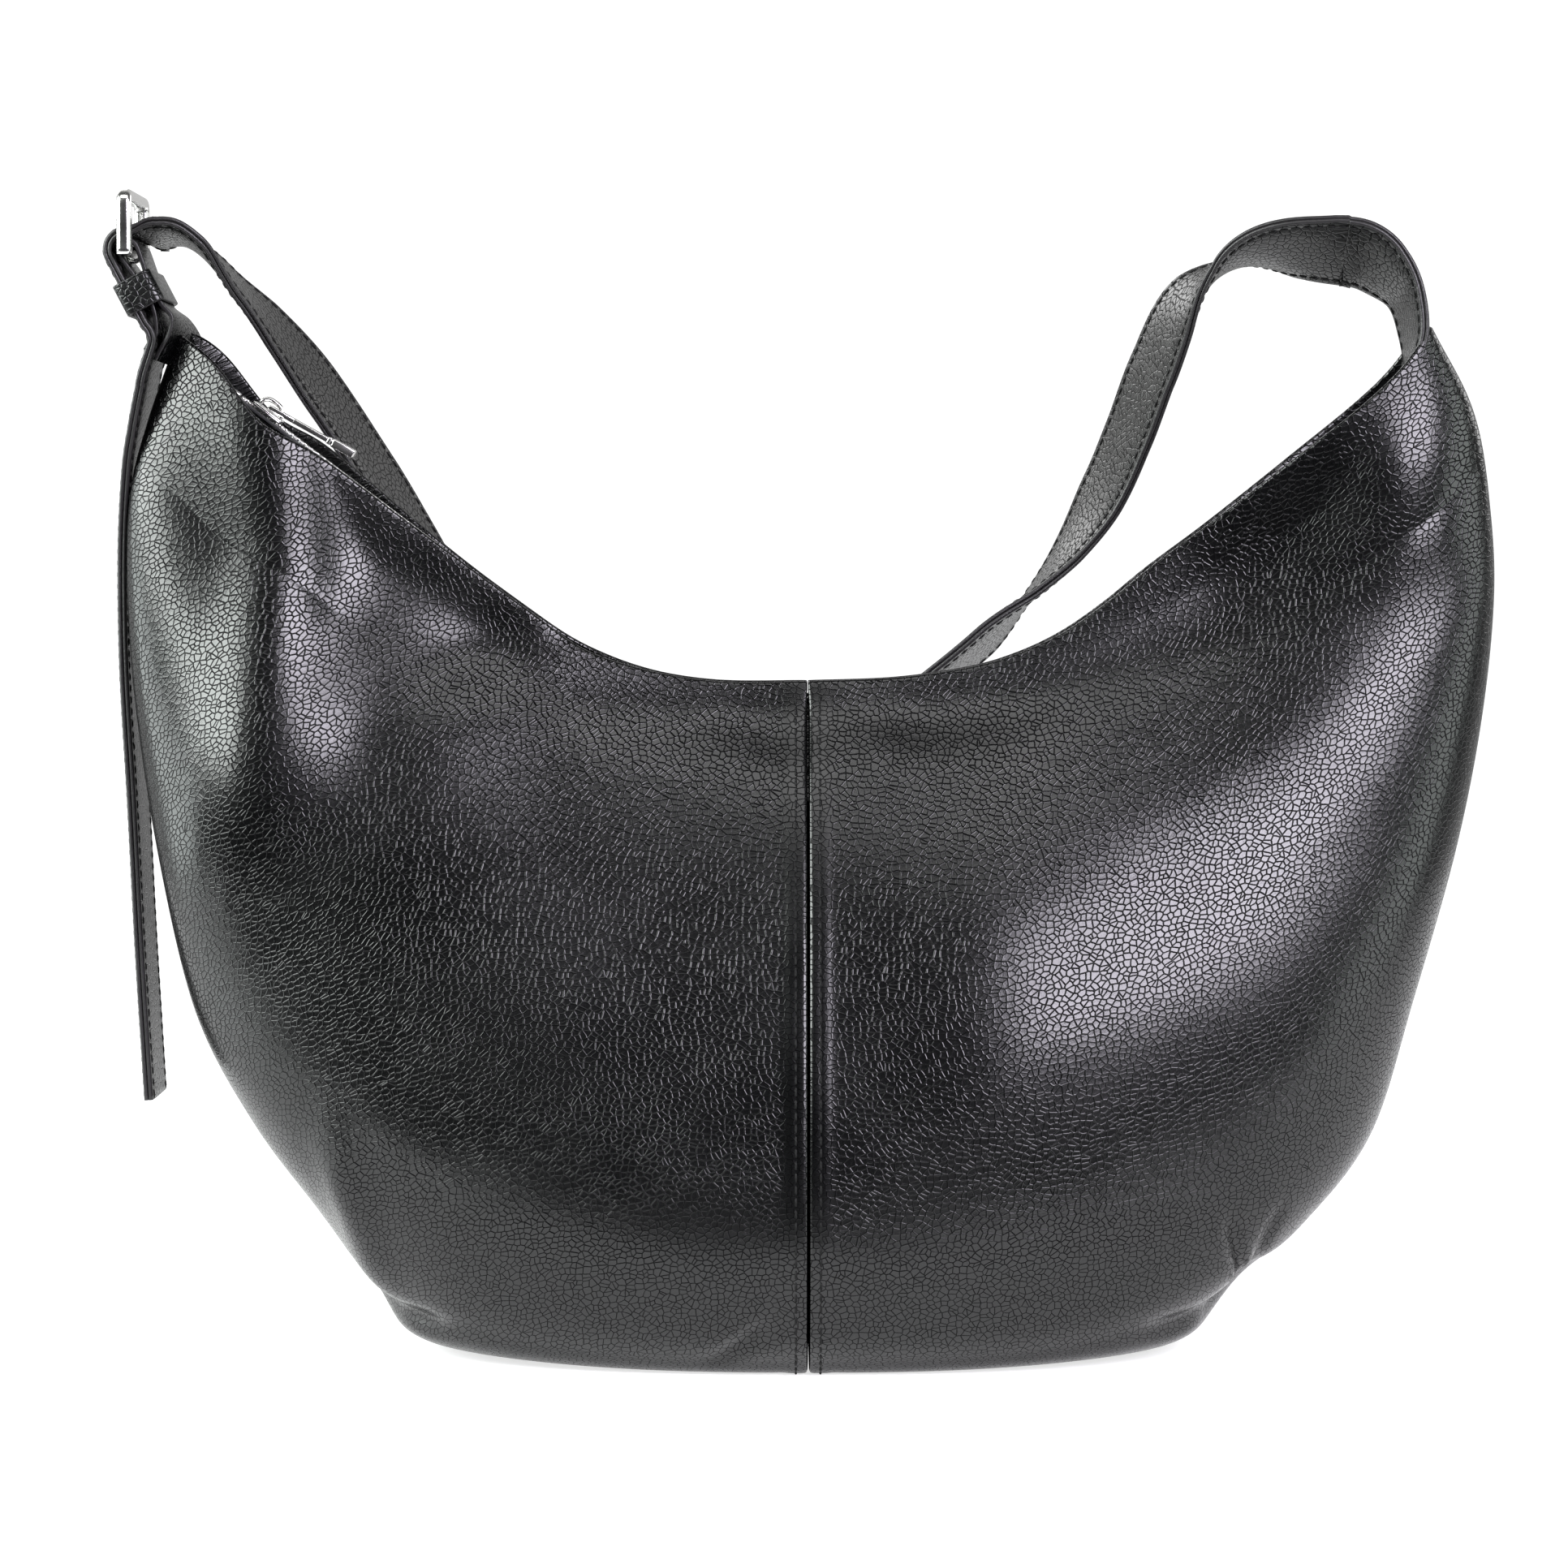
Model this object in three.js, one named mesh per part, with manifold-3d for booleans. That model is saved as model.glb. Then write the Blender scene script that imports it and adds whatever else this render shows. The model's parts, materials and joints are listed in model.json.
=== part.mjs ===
// A hobo bag: two leather halves sewn along a centre seam, closed by a zip, with a
// shoulder strap that is sewn to the right tip and buckled to a tab on the left tip.
// Millimetres. +X is the wearer's right as the bag is seen from the front, +Y the back,
// +Z up. The origin is on the flat base, under the middle of the bag.
import * as THREE from "three";
import * as BufferGeometryUtils from "three/addons/utils/BufferGeometryUtils.js";
import Module from "manifold-3d";

const wasm = await Module();
wasm.setup();

// ---- driving dimensions -------------------------------------------------------
const LEATHER = 1.6; // thickness of the leather halves
const FACING = 1.2; // thickness of the strip inside the mouth
const FACING_GAP = 0.5; // clearance between it and the leather
const LINING = 0.8; // thickness of the fabric lining
const LINING_GAP = 0.8; // clearance between it and the leather
const SEAM_X = 1.2; // the centre seam stands just right of the origin
const SEAM_GAP = 0.4; // groove between the two halves
const MOUTH_HALF_GAP = 9; // half the mouth's width, over most of its length
const TIP_HALF_WIDTH = 20; // half the bag's width at its two tips
const STRAP_WIDTH = 30;
const TAB_WIDTH = 24;
const PLY = 1.25; // one layer of the two-layer strap
const PLY_OFFSET = PLY / 2 + 0.25; // middle of each layer from the strap's middle

// Height of the mouth's edge and of each lower ring, from the mouth to the base:
// centre is [half depth, height] at the seam, left and right are [reach, height] at
// the sides, and round is the exponent of the plan curve (2 is an ellipse).
const RINGS = [
  { centre: [MOUTH_HALF_GAP, 201], left: [188, 305], right: [187.5, 307], round: 9 },
  { centre: [14, 190], left: [197, 283], right: [199, 285], round: 7 },
  { centre: [25, 172], left: [202, 258], right: [205, 258], round: 3 },
  { centre: [38, 146], left: [203, 228], right: [207, 228], round: 2.4 },
  { centre: [50, 118], left: [201, 192], right: [204.5, 193], round: 2.2 },
  { centre: [59, 88], left: [195, 152], right: [197, 152], round: 2.1 },
  { centre: [64, 60], left: [184, 104], right: [184, 106], round: 2.1 },
  { centre: [65, 36], left: [169, 72], right: [172, 66], round: 2.1 },
  { centre: [61, 16], left: [148, 42], right: [152, 39], round: 2.2 },
  { centre: [54, 4], left: [126, 14], right: [130, 14], round: 2.3 },
  { centre: [46, 0], left: [104, 0], right: [108, 0], round: 2.4 },
  { centre: [24, 0], left: [90, 0], right: [94, 0], round: 2.4 },
  { centre: [0, 0], left: [76, 0], right: [80, 0], round: 2.4 },
];
// The mouth's edge rises from the seam to the tips: [share of the reach, share of the rise].
const MOUTH_RISE = [
  [0, 0], [0.16, 0.012], [0.27, 0.037], [0.35, 0.09], [0.54, 0.337],
  [0.75, 0.61], [0.855, 0.745], [0.95, 0.9], [1, 1],
];
const COLUMNS = 28; // steps round one half, from the front seam to the back seam

// The zip runs straight from the left tip, then follows the mouth's curve.
const ZIP_ANGLE = THREE.MathUtils.degToRad(37.2); // how steeply it runs down
const ZIP_SLOPE = new THREE.Vector3(Math.cos(ZIP_ANGLE), 0, -Math.sin(ZIP_ANGLE));
const ZIP_START = new THREE.Vector3(-169, 0, 286.3);
const ZIP_STRAIGHT = 127;
const ZIP_CURVE = [
  [-50, 202], [-28, 198.3], [0, 197.8], [28, 198.6], [58, 203.4],
  [75, 210.2], [103, 231.5], [120, 244], [144, 262.5],
];
const TAPE_AT = 4; // middle of each tape, and of each side of the chain, from the zip's middle
const TEETH_AT = 1.55;
const TAPE_WIDTH = 2.8;
const TAPE_THICK = 0.8;
const TEETH_WIDTH = 1.5;
const TEETH_THICK = 2.2;
const ZIP_STOP = [3, 5, 2.6]; // the block at each end of the chain
const SLIDER_AT = 9; // the slider's middle from the chain's left end
const SLIDER_HALF_LENGTH = 5;
const SLIDER_HALF_WIDTH = 4.6;
const SLIDER_INSIDE = 1.45; // the slider's two plates stand this far above and below the chain
const SLIDER_OUTSIDE = 2.2; // and reach this far
const SLIDER_WIRE = 0.7; // radius of the wire loop that holds the pull
const PULL_RISE = THREE.MathUtils.degToRad(4); // the pull lies this much above the chain
const PULL_HEIGHT = 3.3; // the pull's hinge above the chain
const PULL_REACH = 26.5; // from its hinge to the middle of its rounded end
const PULL_BACK = 0.8; // it runs this far behind its hinge
const PULL_HALF_WIDTH = 3; // at the hinge
const PULL_END_RADIUS = 2.2;
const PULL_THICK = 1.6;
const PULL_SLOT = { from: 0.8, to: 6.2, half: 1.4 };
const PULL_CAP = { from: 21, to: 27.5, half: 2.7, rise: 1.3 }; // the thicker end

// The buckle's heel bar, and the way that the tab and the strap's end run down from it.
const HEEL = new THREE.Vector3(-201, 0, 330);
const HEEL_RADIUS = 1.8;
const HEEL_LENGTH = 34;
const DOWN = new THREE.Vector3(13, 0, -25).normalize();
const OUT = new THREE.Vector3(DOWN.z, 0, -DOWN.x);
const CURL = 5.6; // middle of the strap's curl round the heel bar
const JUNCTION_X = -193.4; // the swinging strap starts here
const ROOT_X = 162.2; // and ends here, at the top of the right arch
const TAIL_FROM = 20.6; // the strap's tail starts this far below the heel bar
const FRAME_HALF_WIDTH = 20;
const FRAME_TOP = 16; // the frame's top bar above the heel bar
const FRAME_FOOT = 2; // its sides run this far below the heel bar
const FRAME_SIDE = 4; // width of each side
const FRAME_BAR = 2; // height of the top bar, and the radius of its corners
const FRAME_THICK = 4.4;
const PRONG_EYE = { outer: 3.3, inner: 2.05 };
const PRONG_WIDTH = 3;
const PRONG_THICK = 2;
const PRONG_FROM = 2.4;
const PRONG_TO = 17.6;
const PRONG_LEAN = THREE.MathUtils.degToRad(-14.5); // it leans over to the top bar's right
const TAB_FOLD = 2.85; // middle of the tab's fold round the heel bar
const TAB_SLOT = [5, 2.6, 5.2]; // half of the hole that lets the prong through the fold
const STRAP_HOLE = 2.4; // half width of the punched hole
const KEEPER_DOWN = 8; // the keeper's top below the heel bar
const KEEPER_LENGTH = 10;
const KEEPER_LOW = -3.5; // the loop's hole runs from here, outwards
const KEEPER_HIGH = 7.7; // to here
const KEEPER_HALF = 15.6; // half of the hole's width

const Y = new THREE.Vector3(0, 1, 0);
const RIGHTWARD = new THREE.Vector3(1, 0, 0);
const LEFTWARD = new THREE.Vector3(-1, 0, 0);

// ---- helpers ---------------------------------------------------------------------
function material(color, roughness, metalness) {
  return new THREE.MeshStandardMaterial({ color, roughness, metalness });
}

const leather = () => material(0x26282a, 0.5, 0);
const edgeLeather = () => material(0x3c3a3d, 0.6, 0);
const fabric = () => material(0x1a1a1c, 0.9, 0);
const nickel = () => material(0xc8c8c8, 0.22, 1);

// A mesh from points and index triples. Points that coincide are joined.
function fromPoints(points, triangles) {
  const geometry = new THREE.BufferGeometry();
  const numbers = points.flatMap((p) => p.toArray());
  geometry.setAttribute("position", new THREE.Float32BufferAttribute(numbers, 3));
  geometry.setIndex(triangles.flat());
  const merged = BufferGeometryUtils.mergeVertices(geometry, 1e-3);
  const index = merged.getIndex().array;
  const kept = [];
  for (let i = 0; i < index.length; i += 3) {
    const [a, b, c] = [index[i], index[i + 1], index[i + 2]];
    if (a !== b && b !== c && a !== c) kept.push(a, b, c);
  }
  merged.setIndex(kept);
  return merged.toNonIndexed();
}

function toSolid(geometry) {
  const bare = geometry.clone();
  bare.deleteAttribute("normal");
  bare.deleteAttribute("uv");
  const merged = BufferGeometryUtils.mergeVertices(bare, 1e-4);
  return new wasm.Manifold(
    new wasm.Mesh({
      numProp: 3,
      vertProperties: new Float32Array(merged.getAttribute("position").array),
      triVerts: new Uint32Array(merged.getIndex().array),
    }),
  );
}

function toGeometry(solid) {
  const made = solid.getMesh();
  const positions = new THREE.BufferAttribute(new Float32Array(made.vertProperties), 3);
  const geometry = new THREE.BufferGeometry();
  geometry.setAttribute("position", positions);
  geometry.setIndex(new THREE.BufferAttribute(new Uint32Array(made.triVerts), 1));
  return geometry.toNonIndexed();
}

const join = (a, b) => toGeometry(toSolid(a).add(toSolid(b)));
const cut = (a, b) => toGeometry(toSolid(a).subtract(toSolid(b)));

function box(low, high) {
  const size = high.map((h, i) => h - low[i]);
  const geometry = new THREE.BoxGeometry(...size);
  geometry.translate(...low.map((l, i) => l + size[i] / 2));
  return geometry;
}

function extruded(shape, depth, curveSegments) {
  return new THREE.ExtrudeGeometry(shape, { depth, curveSegments, bevelEnabled: false });
}

function mesh(name, geometry, look) {
  geometry.computeVertexNormals();
  const made = new THREE.Mesh(geometry, look);
  made.name = name;
  return made;
}

// A flat band through points, where wides are its width's directions. It is moved by
// offset along its own normal. ends may give the directions that it starts and ends in.
function band(points, wides, width, thick, offset = 0, ends = []) {
  const rows = points.map((p, i) => {
    const before = points[Math.max(i - 1, 0)];
    const after = points[Math.min(i + 1, points.length - 1)];
    const end = i === 0 ? ends[0] : i === points.length - 1 ? ends[1] : null;
    const along = end ? end.clone() : after.clone().sub(before).normalize();
    const wide = wides[i].clone().addScaledVector(along, -wides[i].dot(along)).normalize();
    const out = new THREE.Vector3().crossVectors(along, wide).normalize();
    const corner = (w, t) => {
      const edge = p.clone().addScaledVector(wide, w * width / 2);
      return edge.addScaledVector(out, offset + t * thick / 2);
    };
    return [corner(-1, -1), corner(1, -1), corner(1, 1), corner(-1, 1)];
  });
  const triangles = [];
  for (let i = 0; i + 1 < rows.length; i += 1) {
    for (let j = 0; j < 4; j += 1) {
      const [a, b] = [4 * i + j, 4 * i + ((j + 1) % 4)];
      if (j < 2) triangles.push([a, b, b + 4], [a, b + 4, a + 4]);
      else triangles.push([a, b, a + 4], [b, b + 4, a + 4]);
    }
  }
  const last = 4 * (rows.length - 1);
  triangles.push([0, 2, 1], [0, 3, 2], [last, last + 1, last + 2], [last, last + 2, last + 3]);
  return fromPoints(rows.flat(), triangles);
}

// Points and width directions along a smooth route through stations [x, y, z, wx, wy, wz].
function route(stations, steps) {
  const through = (from) => {
    const vectors = stations.map((station) => new THREE.Vector3(...station.slice(from, from + 3)));
    return new THREE.CatmullRomCurve3(vectors, false, "centripetal");
  };
  const path = through(0);
  const turn = through(3);
  const points = [];
  const wides = [];
  for (let i = 0; i <= steps; i += 1) {
    points.push(path.getPoint(i / steps));
    wides.push(turn.getPoint(i / steps).normalize());
  }
  return { points, wides };
}

// ---- the body's surface --------------------------------------------------------------
function between(table, x) {
  const k = Math.max(1, table.findIndex((row) => row[0] >= x));
  const [[x0, y0], [x1, y1]] = [table[k - 1], table[k]];
  return y0 + ((y1 - y0) * (x - x0)) / (x1 - x0);
}

// The point at ring v (0 is the mouth) and angle u (0 front seam, 0.5 side, 1 back seam).
function surface(side, v, u) {
  const k = Math.min(Math.floor(v), RINGS.length - 2);
  const f = v - k;
  const mix = (a, b) => a + (b - a) * f;
  const [a, b] = [RINGS[k], RINGS[k + 1]];
  const [reach, sideZ] = [mix(a[side][0], b[side][0]), mix(a[side][1], b[side][1])];
  const [depth, seamZ] = [mix(a.centre[0], b.centre[0]), mix(a.centre[1], b.centre[1])];
  const round = mix(a.round, b.round);
  const [s, c] = [Math.sin(u * Math.PI), Math.cos(u * Math.PI)];
  const scale = (s ** round + Math.abs(c) ** round) ** (-1 / round);
  const share = s * scale;
  const widen = THREE.MathUtils.smoothstep(share, 0.8, 0.93);
  const wide = v < 3 ? Math.max(depth, THREE.MathUtils.lerp(depth, TIP_HALF_WIDTH, widen)) : depth;
  const seam = side === "left" ? SEAM_X - SEAM_GAP / 2 : SEAM_X + SEAM_GAP / 2;
  const sign = side === "left" ? -1 : 1;
  const x = seam + share * (sign * reach - seam);
  const low = share ** 2.6;
  const rise = THREE.MathUtils.lerp(between(MOUTH_RISE, share), low, Math.min(v / 4, 1));
  return new THREE.Vector3(x, -wide * c * scale, seamZ + (sideZ - seamZ) * rise);
}

// A grid of surface points with outward normals; columns are [side, u] pairs.
function grid(columns, rows) {
  const points = rows.map((v) => columns.map(([side, u]) => surface(side, v, u)));
  const step = 0.02;
  const normals = rows.map((v, i) => columns.map(([side, u], j) => {
    const [v0, v1] = [Math.max(v - step, 0), Math.min(v + step, RINGS.length - 1 - step)];
    const [u0, u1] = [Math.max(u - step, 0), Math.min(u + step, 1)];
    const down = surface(side, v1, u).sub(surface(side, v0, u));
    const round = surface(side, v, u1).sub(surface(side, v, u0));
    const normal = new THREE.Vector3().crossVectors(down, round).normalize();
    if (side === "left") normal.negate();
    if (v > 10) normal.set(0, 0, -1);
    if (u === 0 || u === 1) normal.x = 0;
    return normal.normalize();
  }));
  return { points, normals };
}

// A skin between two depths under the surface. closed joins the last column to the first.
function skin(columns, rows, outer, inner, closed = false) {
  const { points, normals } = grid(columns, rows);
  const [m, n] = [rows.length, columns.length];
  const at = (depth) => points.flatMap((row, i) => (
    row.map((p, j) => p.clone().addScaledVector(normals[i][j], -depth))
  ));
  const all = [...at(outer), ...at(inner)];
  const triangles = [];
  const quad = (a, b, c, d, flip) => {
    if (flip) triangles.push([a, b, d], [b, c, d]);
    else triangles.push([a, b, c], [a, c, d]);
  };
  const id = (i, j, layer) => layer * m * n + i * n + (j % n);
  const last = closed ? n : n - 1;
  for (let j = 0; j < last; j += 1) {
    const flip = columns[(j + 1) % n][1] < columns[j][1];
    for (let i = 0; i + 1 < m; i += 1) {
      quad(id(i, j, 0), id(i + 1, j, 0), id(i + 1, j + 1, 0), id(i, j + 1, 0), flip);
      quad(id(i, j, 1), id(i, j + 1, 1), id(i + 1, j + 1, 1), id(i + 1, j, 1), flip);
    }
    quad(id(0, j, 0), id(0, j + 1, 0), id(0, j + 1, 1), id(0, j, 1));
    if (rows[m - 1] < RINGS.length - 1) {
      quad(id(m - 1, j, 0), id(m - 1, j, 1), id(m - 1, j + 1, 1), id(m - 1, j + 1, 0));
    }
  }
  if (!closed) {
    for (let i = 0; i + 1 < m; i += 1) {
      quad(id(i, 0, 0), id(i, 0, 1), id(i + 1, 0, 1), id(i + 1, 0, 0));
      quad(id(i, n - 1, 0), id(i + 1, n - 1, 0), id(i + 1, n - 1, 1), id(i, n - 1, 1));
    }
  }
  return facingOut(fromPoints(all, triangles));
}

// The same closed geometry with its triangles turned outwards.
function facingOut(geometry) {
  const p = geometry.getAttribute("position");
  const [a, b, c] = [new THREE.Vector3(), new THREE.Vector3(), new THREE.Vector3()];
  let volume = 0;
  for (let i = 0; i < p.count; i += 3) {
    a.fromBufferAttribute(p, i);
    b.fromBufferAttribute(p, i + 1);
    c.fromBufferAttribute(p, i + 2);
    volume += a.dot(b.cross(c));
  }
  if (volume < 0) {
    for (let i = 0; i < p.count; i += 3) {
      b.fromBufferAttribute(p, i + 1);
      c.fromBufferAttribute(p, i + 2);
      p.setXYZ(i + 1, ...c.toArray());
      p.setXYZ(i + 2, ...b.toArray());
    }
  }
  return geometry;
}

function range(from, to, steps) {
  return Array.from({ length: steps + 1 }, (_, i) => from + ((to - from) * i) / steps);
}

const half = (side) => range(0, 1, COLUMNS).map((u) => [side, u]);
const FRONT = range(0, 0.5, COLUMNS / 2);
const MOUTH_ONLY = FRONT.slice(0, 7);
const acrossFront = (us) => [
  ...us.toReversed().map((u) => ["left", u]),
  ...us.map((u) => ["right", u]),
];
const acrossBack = (us) => acrossFront(us).map(([side, u]) => [side, 1 - u]);
const wholeRing = [...half("right"), ...half("left").toReversed()];

// ---- leather halves, facings and lining ------------------------------------------------
function panels() {
  const rows = range(0, RINGS.length - 1, RINGS.length - 1);
  return ["left", "right"].map((side) => {
    const shell = skin(half(side), rows, 0, LEATHER);
    return mesh(`${side}_panel`, shell, leather());
  });
}

function insides() {
  const near = LEATHER + FACING_GAP;
  const far = near + FACING;
  const liningAt = LEATHER + LINING_GAP;
  const facingRows = [0.03, 1, 2];
  const liningRows = [2.3, ...range(3, RINGS.length - 1, RINGS.length - 4)];
  return [
    mesh("mouth_facing_front", skin(acrossFront(MOUTH_ONLY), facingRows, near, far), leather()),
    mesh("mouth_facing_back", skin(acrossBack(MOUTH_ONLY), facingRows, near, far), leather()),
    mesh("lining", skin(wholeRing, liningRows, liningAt, liningAt + LINING, true), fabric()),
  ];
}

// ---- zip ---------------------------------------------------------------------------------
function zipRoute() {
  const points = range(0, ZIP_STRAIGHT, 3).map((s) => ZIP_START.clone().addScaledVector(ZIP_SLOPE, s));
  const bend = ZIP_CURVE.map(([x, z]) => new THREE.Vector3(x, 0, z));
  const curve = new THREE.CatmullRomCurve3([points[3], ...bend], false, "centripetal");
  for (let i = 1; i <= 24; i += 1) points.push(curve.getPoint(i / 24));
  return points;
}

function zip() {
  const line = zipRoute();
  const wides = line.map(() => Y);
  const parts = [];
  for (const [name, sign] of [["front", -1], ["back", 1]]) {
    const shifted = (y) => line.map((p) => new THREE.Vector3(p.x, sign * y, p.z));
    const tape = band(shifted(TAPE_AT), wides, TAPE_WIDTH, TAPE_THICK);
    const teeth = band(shifted(TEETH_AT), wides, TEETH_WIDTH, TEETH_THICK);
    parts.push(mesh(`zip_tape_${name}`, facingOut(tape), fabric()));
    parts.push(mesh(`zip_teeth_${name}`, facingOut(teeth), nickel()));
  }
  const last = line.at(-1);
  const lastStep = last.clone().sub(line.at(-2)).normalize();
  const ends = [
    ["zip_top_stop", line[0], ZIP_SLOPE, -1],
    ["zip_bottom_stop", last, lastStep, 1],
  ];
  for (const [name, at, along, sign] of ends) {
    const stop = mesh(name, new THREE.BoxGeometry(...ZIP_STOP), nickel());
    stop.position.copy(at).addScaledVector(along, sign * 2);
    stop.rotation.y = -Math.atan2(along.z, along.x);
    parts.push(stop);
  }
  return parts;
}

function slider() {
  const arch = new THREE.CatmullRomCurve3([
    new THREE.Vector3(-3.6, 0, 1.8), new THREE.Vector3(-3.4, 0, 4), new THREE.Vector3(-2, 0, 5.25),
    new THREE.Vector3(2, 0, 5.25), new THREE.Vector3(3.4, 0, 4), new THREE.Vector3(3.6, 0, 1.8),
  ]);
  const wire = new THREE.Shape().absarc(0, 0, SLIDER_WIRE, 0, Math.PI * 2, false);
  const loop = new THREE.ExtrudeGeometry(wire, { steps: 16, curveSegments: 8, extrudePath: arch });
  const [long, wide] = [SLIDER_HALF_LENGTH, SLIDER_HALF_WIDTH];
  const top = box([-long, -wide, SLIDER_INSIDE], [long, wide, SLIDER_OUTSIDE]);
  const bottom = box([-long, -wide, -SLIDER_OUTSIDE], [long, wide, -SLIDER_INSIDE]);
  const post = box([-4.6, -0.45, -1.8], [-1.6, 0.45, 1.8]);
  const body = [bottom, post, loop].reduce((whole, piece) => join(whole, piece), top);
  return mesh("zip_slider", body, nickel());
}

function pull() {
  const outline = new THREE.Shape();
  outline.moveTo(-PULL_BACK, -PULL_HALF_WIDTH);
  outline.lineTo(PULL_REACH, -PULL_END_RADIUS);
  outline.absarc(PULL_REACH, 0, PULL_END_RADIUS, -Math.PI / 2, Math.PI / 2, false);
  outline.lineTo(-PULL_BACK, PULL_HALF_WIDTH);
  outline.closePath();
  const slot = new THREE.Path();
  slot.moveTo(PULL_SLOT.from, -PULL_SLOT.half);
  slot.lineTo(PULL_SLOT.from, PULL_SLOT.half);
  slot.lineTo(PULL_SLOT.to, PULL_SLOT.half);
  slot.lineTo(PULL_SLOT.to, -PULL_SLOT.half);
  slot.closePath();
  outline.holes.push(slot);
  const bar = extruded(outline, PULL_THICK, 8);
  bar.translate(0, 0, -PULL_THICK / 2);
  const { from, to, half: across, rise } = PULL_CAP;
  const cap = box([from, -across, -rise], [to, across, rise]);
  return mesh("zip_pull", join(bar, cap), nickel());
}

// ---- buckle, tab and strap -------------------------------------------------------------
// A point beside the line that runs down from the heel bar.
const beside = (down, out) => HEEL.clone().addScaledVector(DOWN, down).addScaledVector(OUT, out);

function buckle() {
  const outer = FRAME_HALF_WIDTH;
  const inner = FRAME_HALF_WIDTH - FRAME_SIDE;
  const corner = FRAME_HALF_WIDTH - FRAME_BAR;
  const frame = new THREE.Shape();
  frame.moveTo(-outer, -FRAME_FOOT);
  frame.lineTo(-inner, -FRAME_FOOT);
  frame.lineTo(-inner, FRAME_TOP - FRAME_BAR);
  frame.lineTo(inner, FRAME_TOP - FRAME_BAR);
  frame.lineTo(inner, -FRAME_FOOT);
  frame.lineTo(outer, -FRAME_FOOT);
  frame.lineTo(outer, FRAME_TOP);
  frame.absarc(corner, FRAME_TOP, FRAME_BAR, 0, Math.PI / 2, false);
  frame.absarc(-corner, FRAME_TOP, FRAME_BAR, Math.PI / 2, Math.PI, false);
  frame.closePath();
  const sides = extruded(frame, FRAME_THICK, 4);
  sides.translate(0, 0, -FRAME_THICK / 2);
  sides.rotateX(Math.PI / 2);
  sides.rotateZ(Math.PI / 2);
  sides.translate(HEEL.x, 0, HEEL.z);
  const bar = new THREE.CylinderGeometry(HEEL_RADIUS, HEEL_RADIUS, HEEL_LENGTH, 20);
  bar.translate(HEEL.x, 0, HEEL.z);
  return mesh("buckle_frame", join(sides, bar), nickel());
}

function prong() {
  const ring = new THREE.Shape().absarc(0, 0, PRONG_EYE.outer, 0, Math.PI * 2, false);
  ring.holes.push(new THREE.Path().absarc(0, 0, PRONG_EYE.inner, 0, Math.PI * 2, true));
  const eye = extruded(ring, PRONG_WIDTH, 12);
  eye.translate(0, 0, -PRONG_WIDTH / 2);
  eye.rotateX(Math.PI / 2);
  const [thick, wide] = [PRONG_THICK / 2, PRONG_WIDTH / 2];
  const tongue = box([-thick, -wide, PRONG_FROM], [thick, wide, PRONG_TO]);
  tongue.rotateY(PRONG_LEAN);
  const whole = join(eye, tongue);
  whole.translate(HEEL.x, 0, HEEL.z);
  return mesh("buckle_prong", whole, nickel());
}

// The tab: one strip folded over the heel bar, its two ends on the inside and the
// outside of the bag's left tip.
function tab() {
  const [tip, below] = RINGS.slice(0, 2).map((r) => new THREE.Vector3(-r.left[0], 0, r.left[1]));
  const wall = below.sub(tip).normalize();
  const outward = new THREE.Vector3(wall.z, 0, -wall.x);
  const onWall = (down, out) => tip.clone().addScaledVector(wall, down).addScaledVector(outward, out);
  const curl = range(-10, 190, 12).map((degrees) => {
    const t = THREE.MathUtils.degToRad(degrees);
    return beside(-TAB_FOLD * Math.sin(t), -TAB_FOLD * Math.cos(t));
  });
  const points = [
    onWall(9, -3.8), onWall(1, -3.7),
    beside(25, -4.6), beside(21, -1.5), beside(12, -1.2), beside(6, -2.1),
    ...curl,
    beside(6, 2.1), beside(12, 1.2), beside(20, 1.2), beside(26, 1.6),
    onWall(1.5, 1.6), onWall(7, 1.7),
  ];
  const strip = facingOut(band(points, points.map(() => Y), TAB_WIDTH, PLY));
  const [x, y, z] = TAB_SLOT;
  const slot = box([HEEL.x - x, -y, HEEL.z - z], [HEEL.x + x, y, HEEL.z + x]);
  return mesh("buckle_tab", cut(strip, slot), leather());
}

function keeper() {
  const rectangle = (shape, grow) => {
    shape.moveTo(KEEPER_LOW - grow, -KEEPER_HALF - grow);
    shape.lineTo(KEEPER_HIGH + grow, -KEEPER_HALF - grow);
    shape.lineTo(KEEPER_HIGH + grow, KEEPER_HALF + grow);
    shape.lineTo(KEEPER_LOW - grow, KEEPER_HALF + grow);
    shape.closePath();
    return shape;
  };
  const outline = rectangle(new THREE.Shape(), PLY);
  outline.holes.push(rectangle(new THREE.Path(), 0));
  const loop = extruded(outline, KEEPER_LENGTH, 1);
  loop.applyMatrix4(new THREE.Matrix4().makeBasis(OUT, Y, DOWN));
  const at = beside(KEEPER_DOWN, 0);
  loop.translate(at.x, at.y, at.z);
  return mesh("strap_keeper", loop, leather());
}

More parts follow.
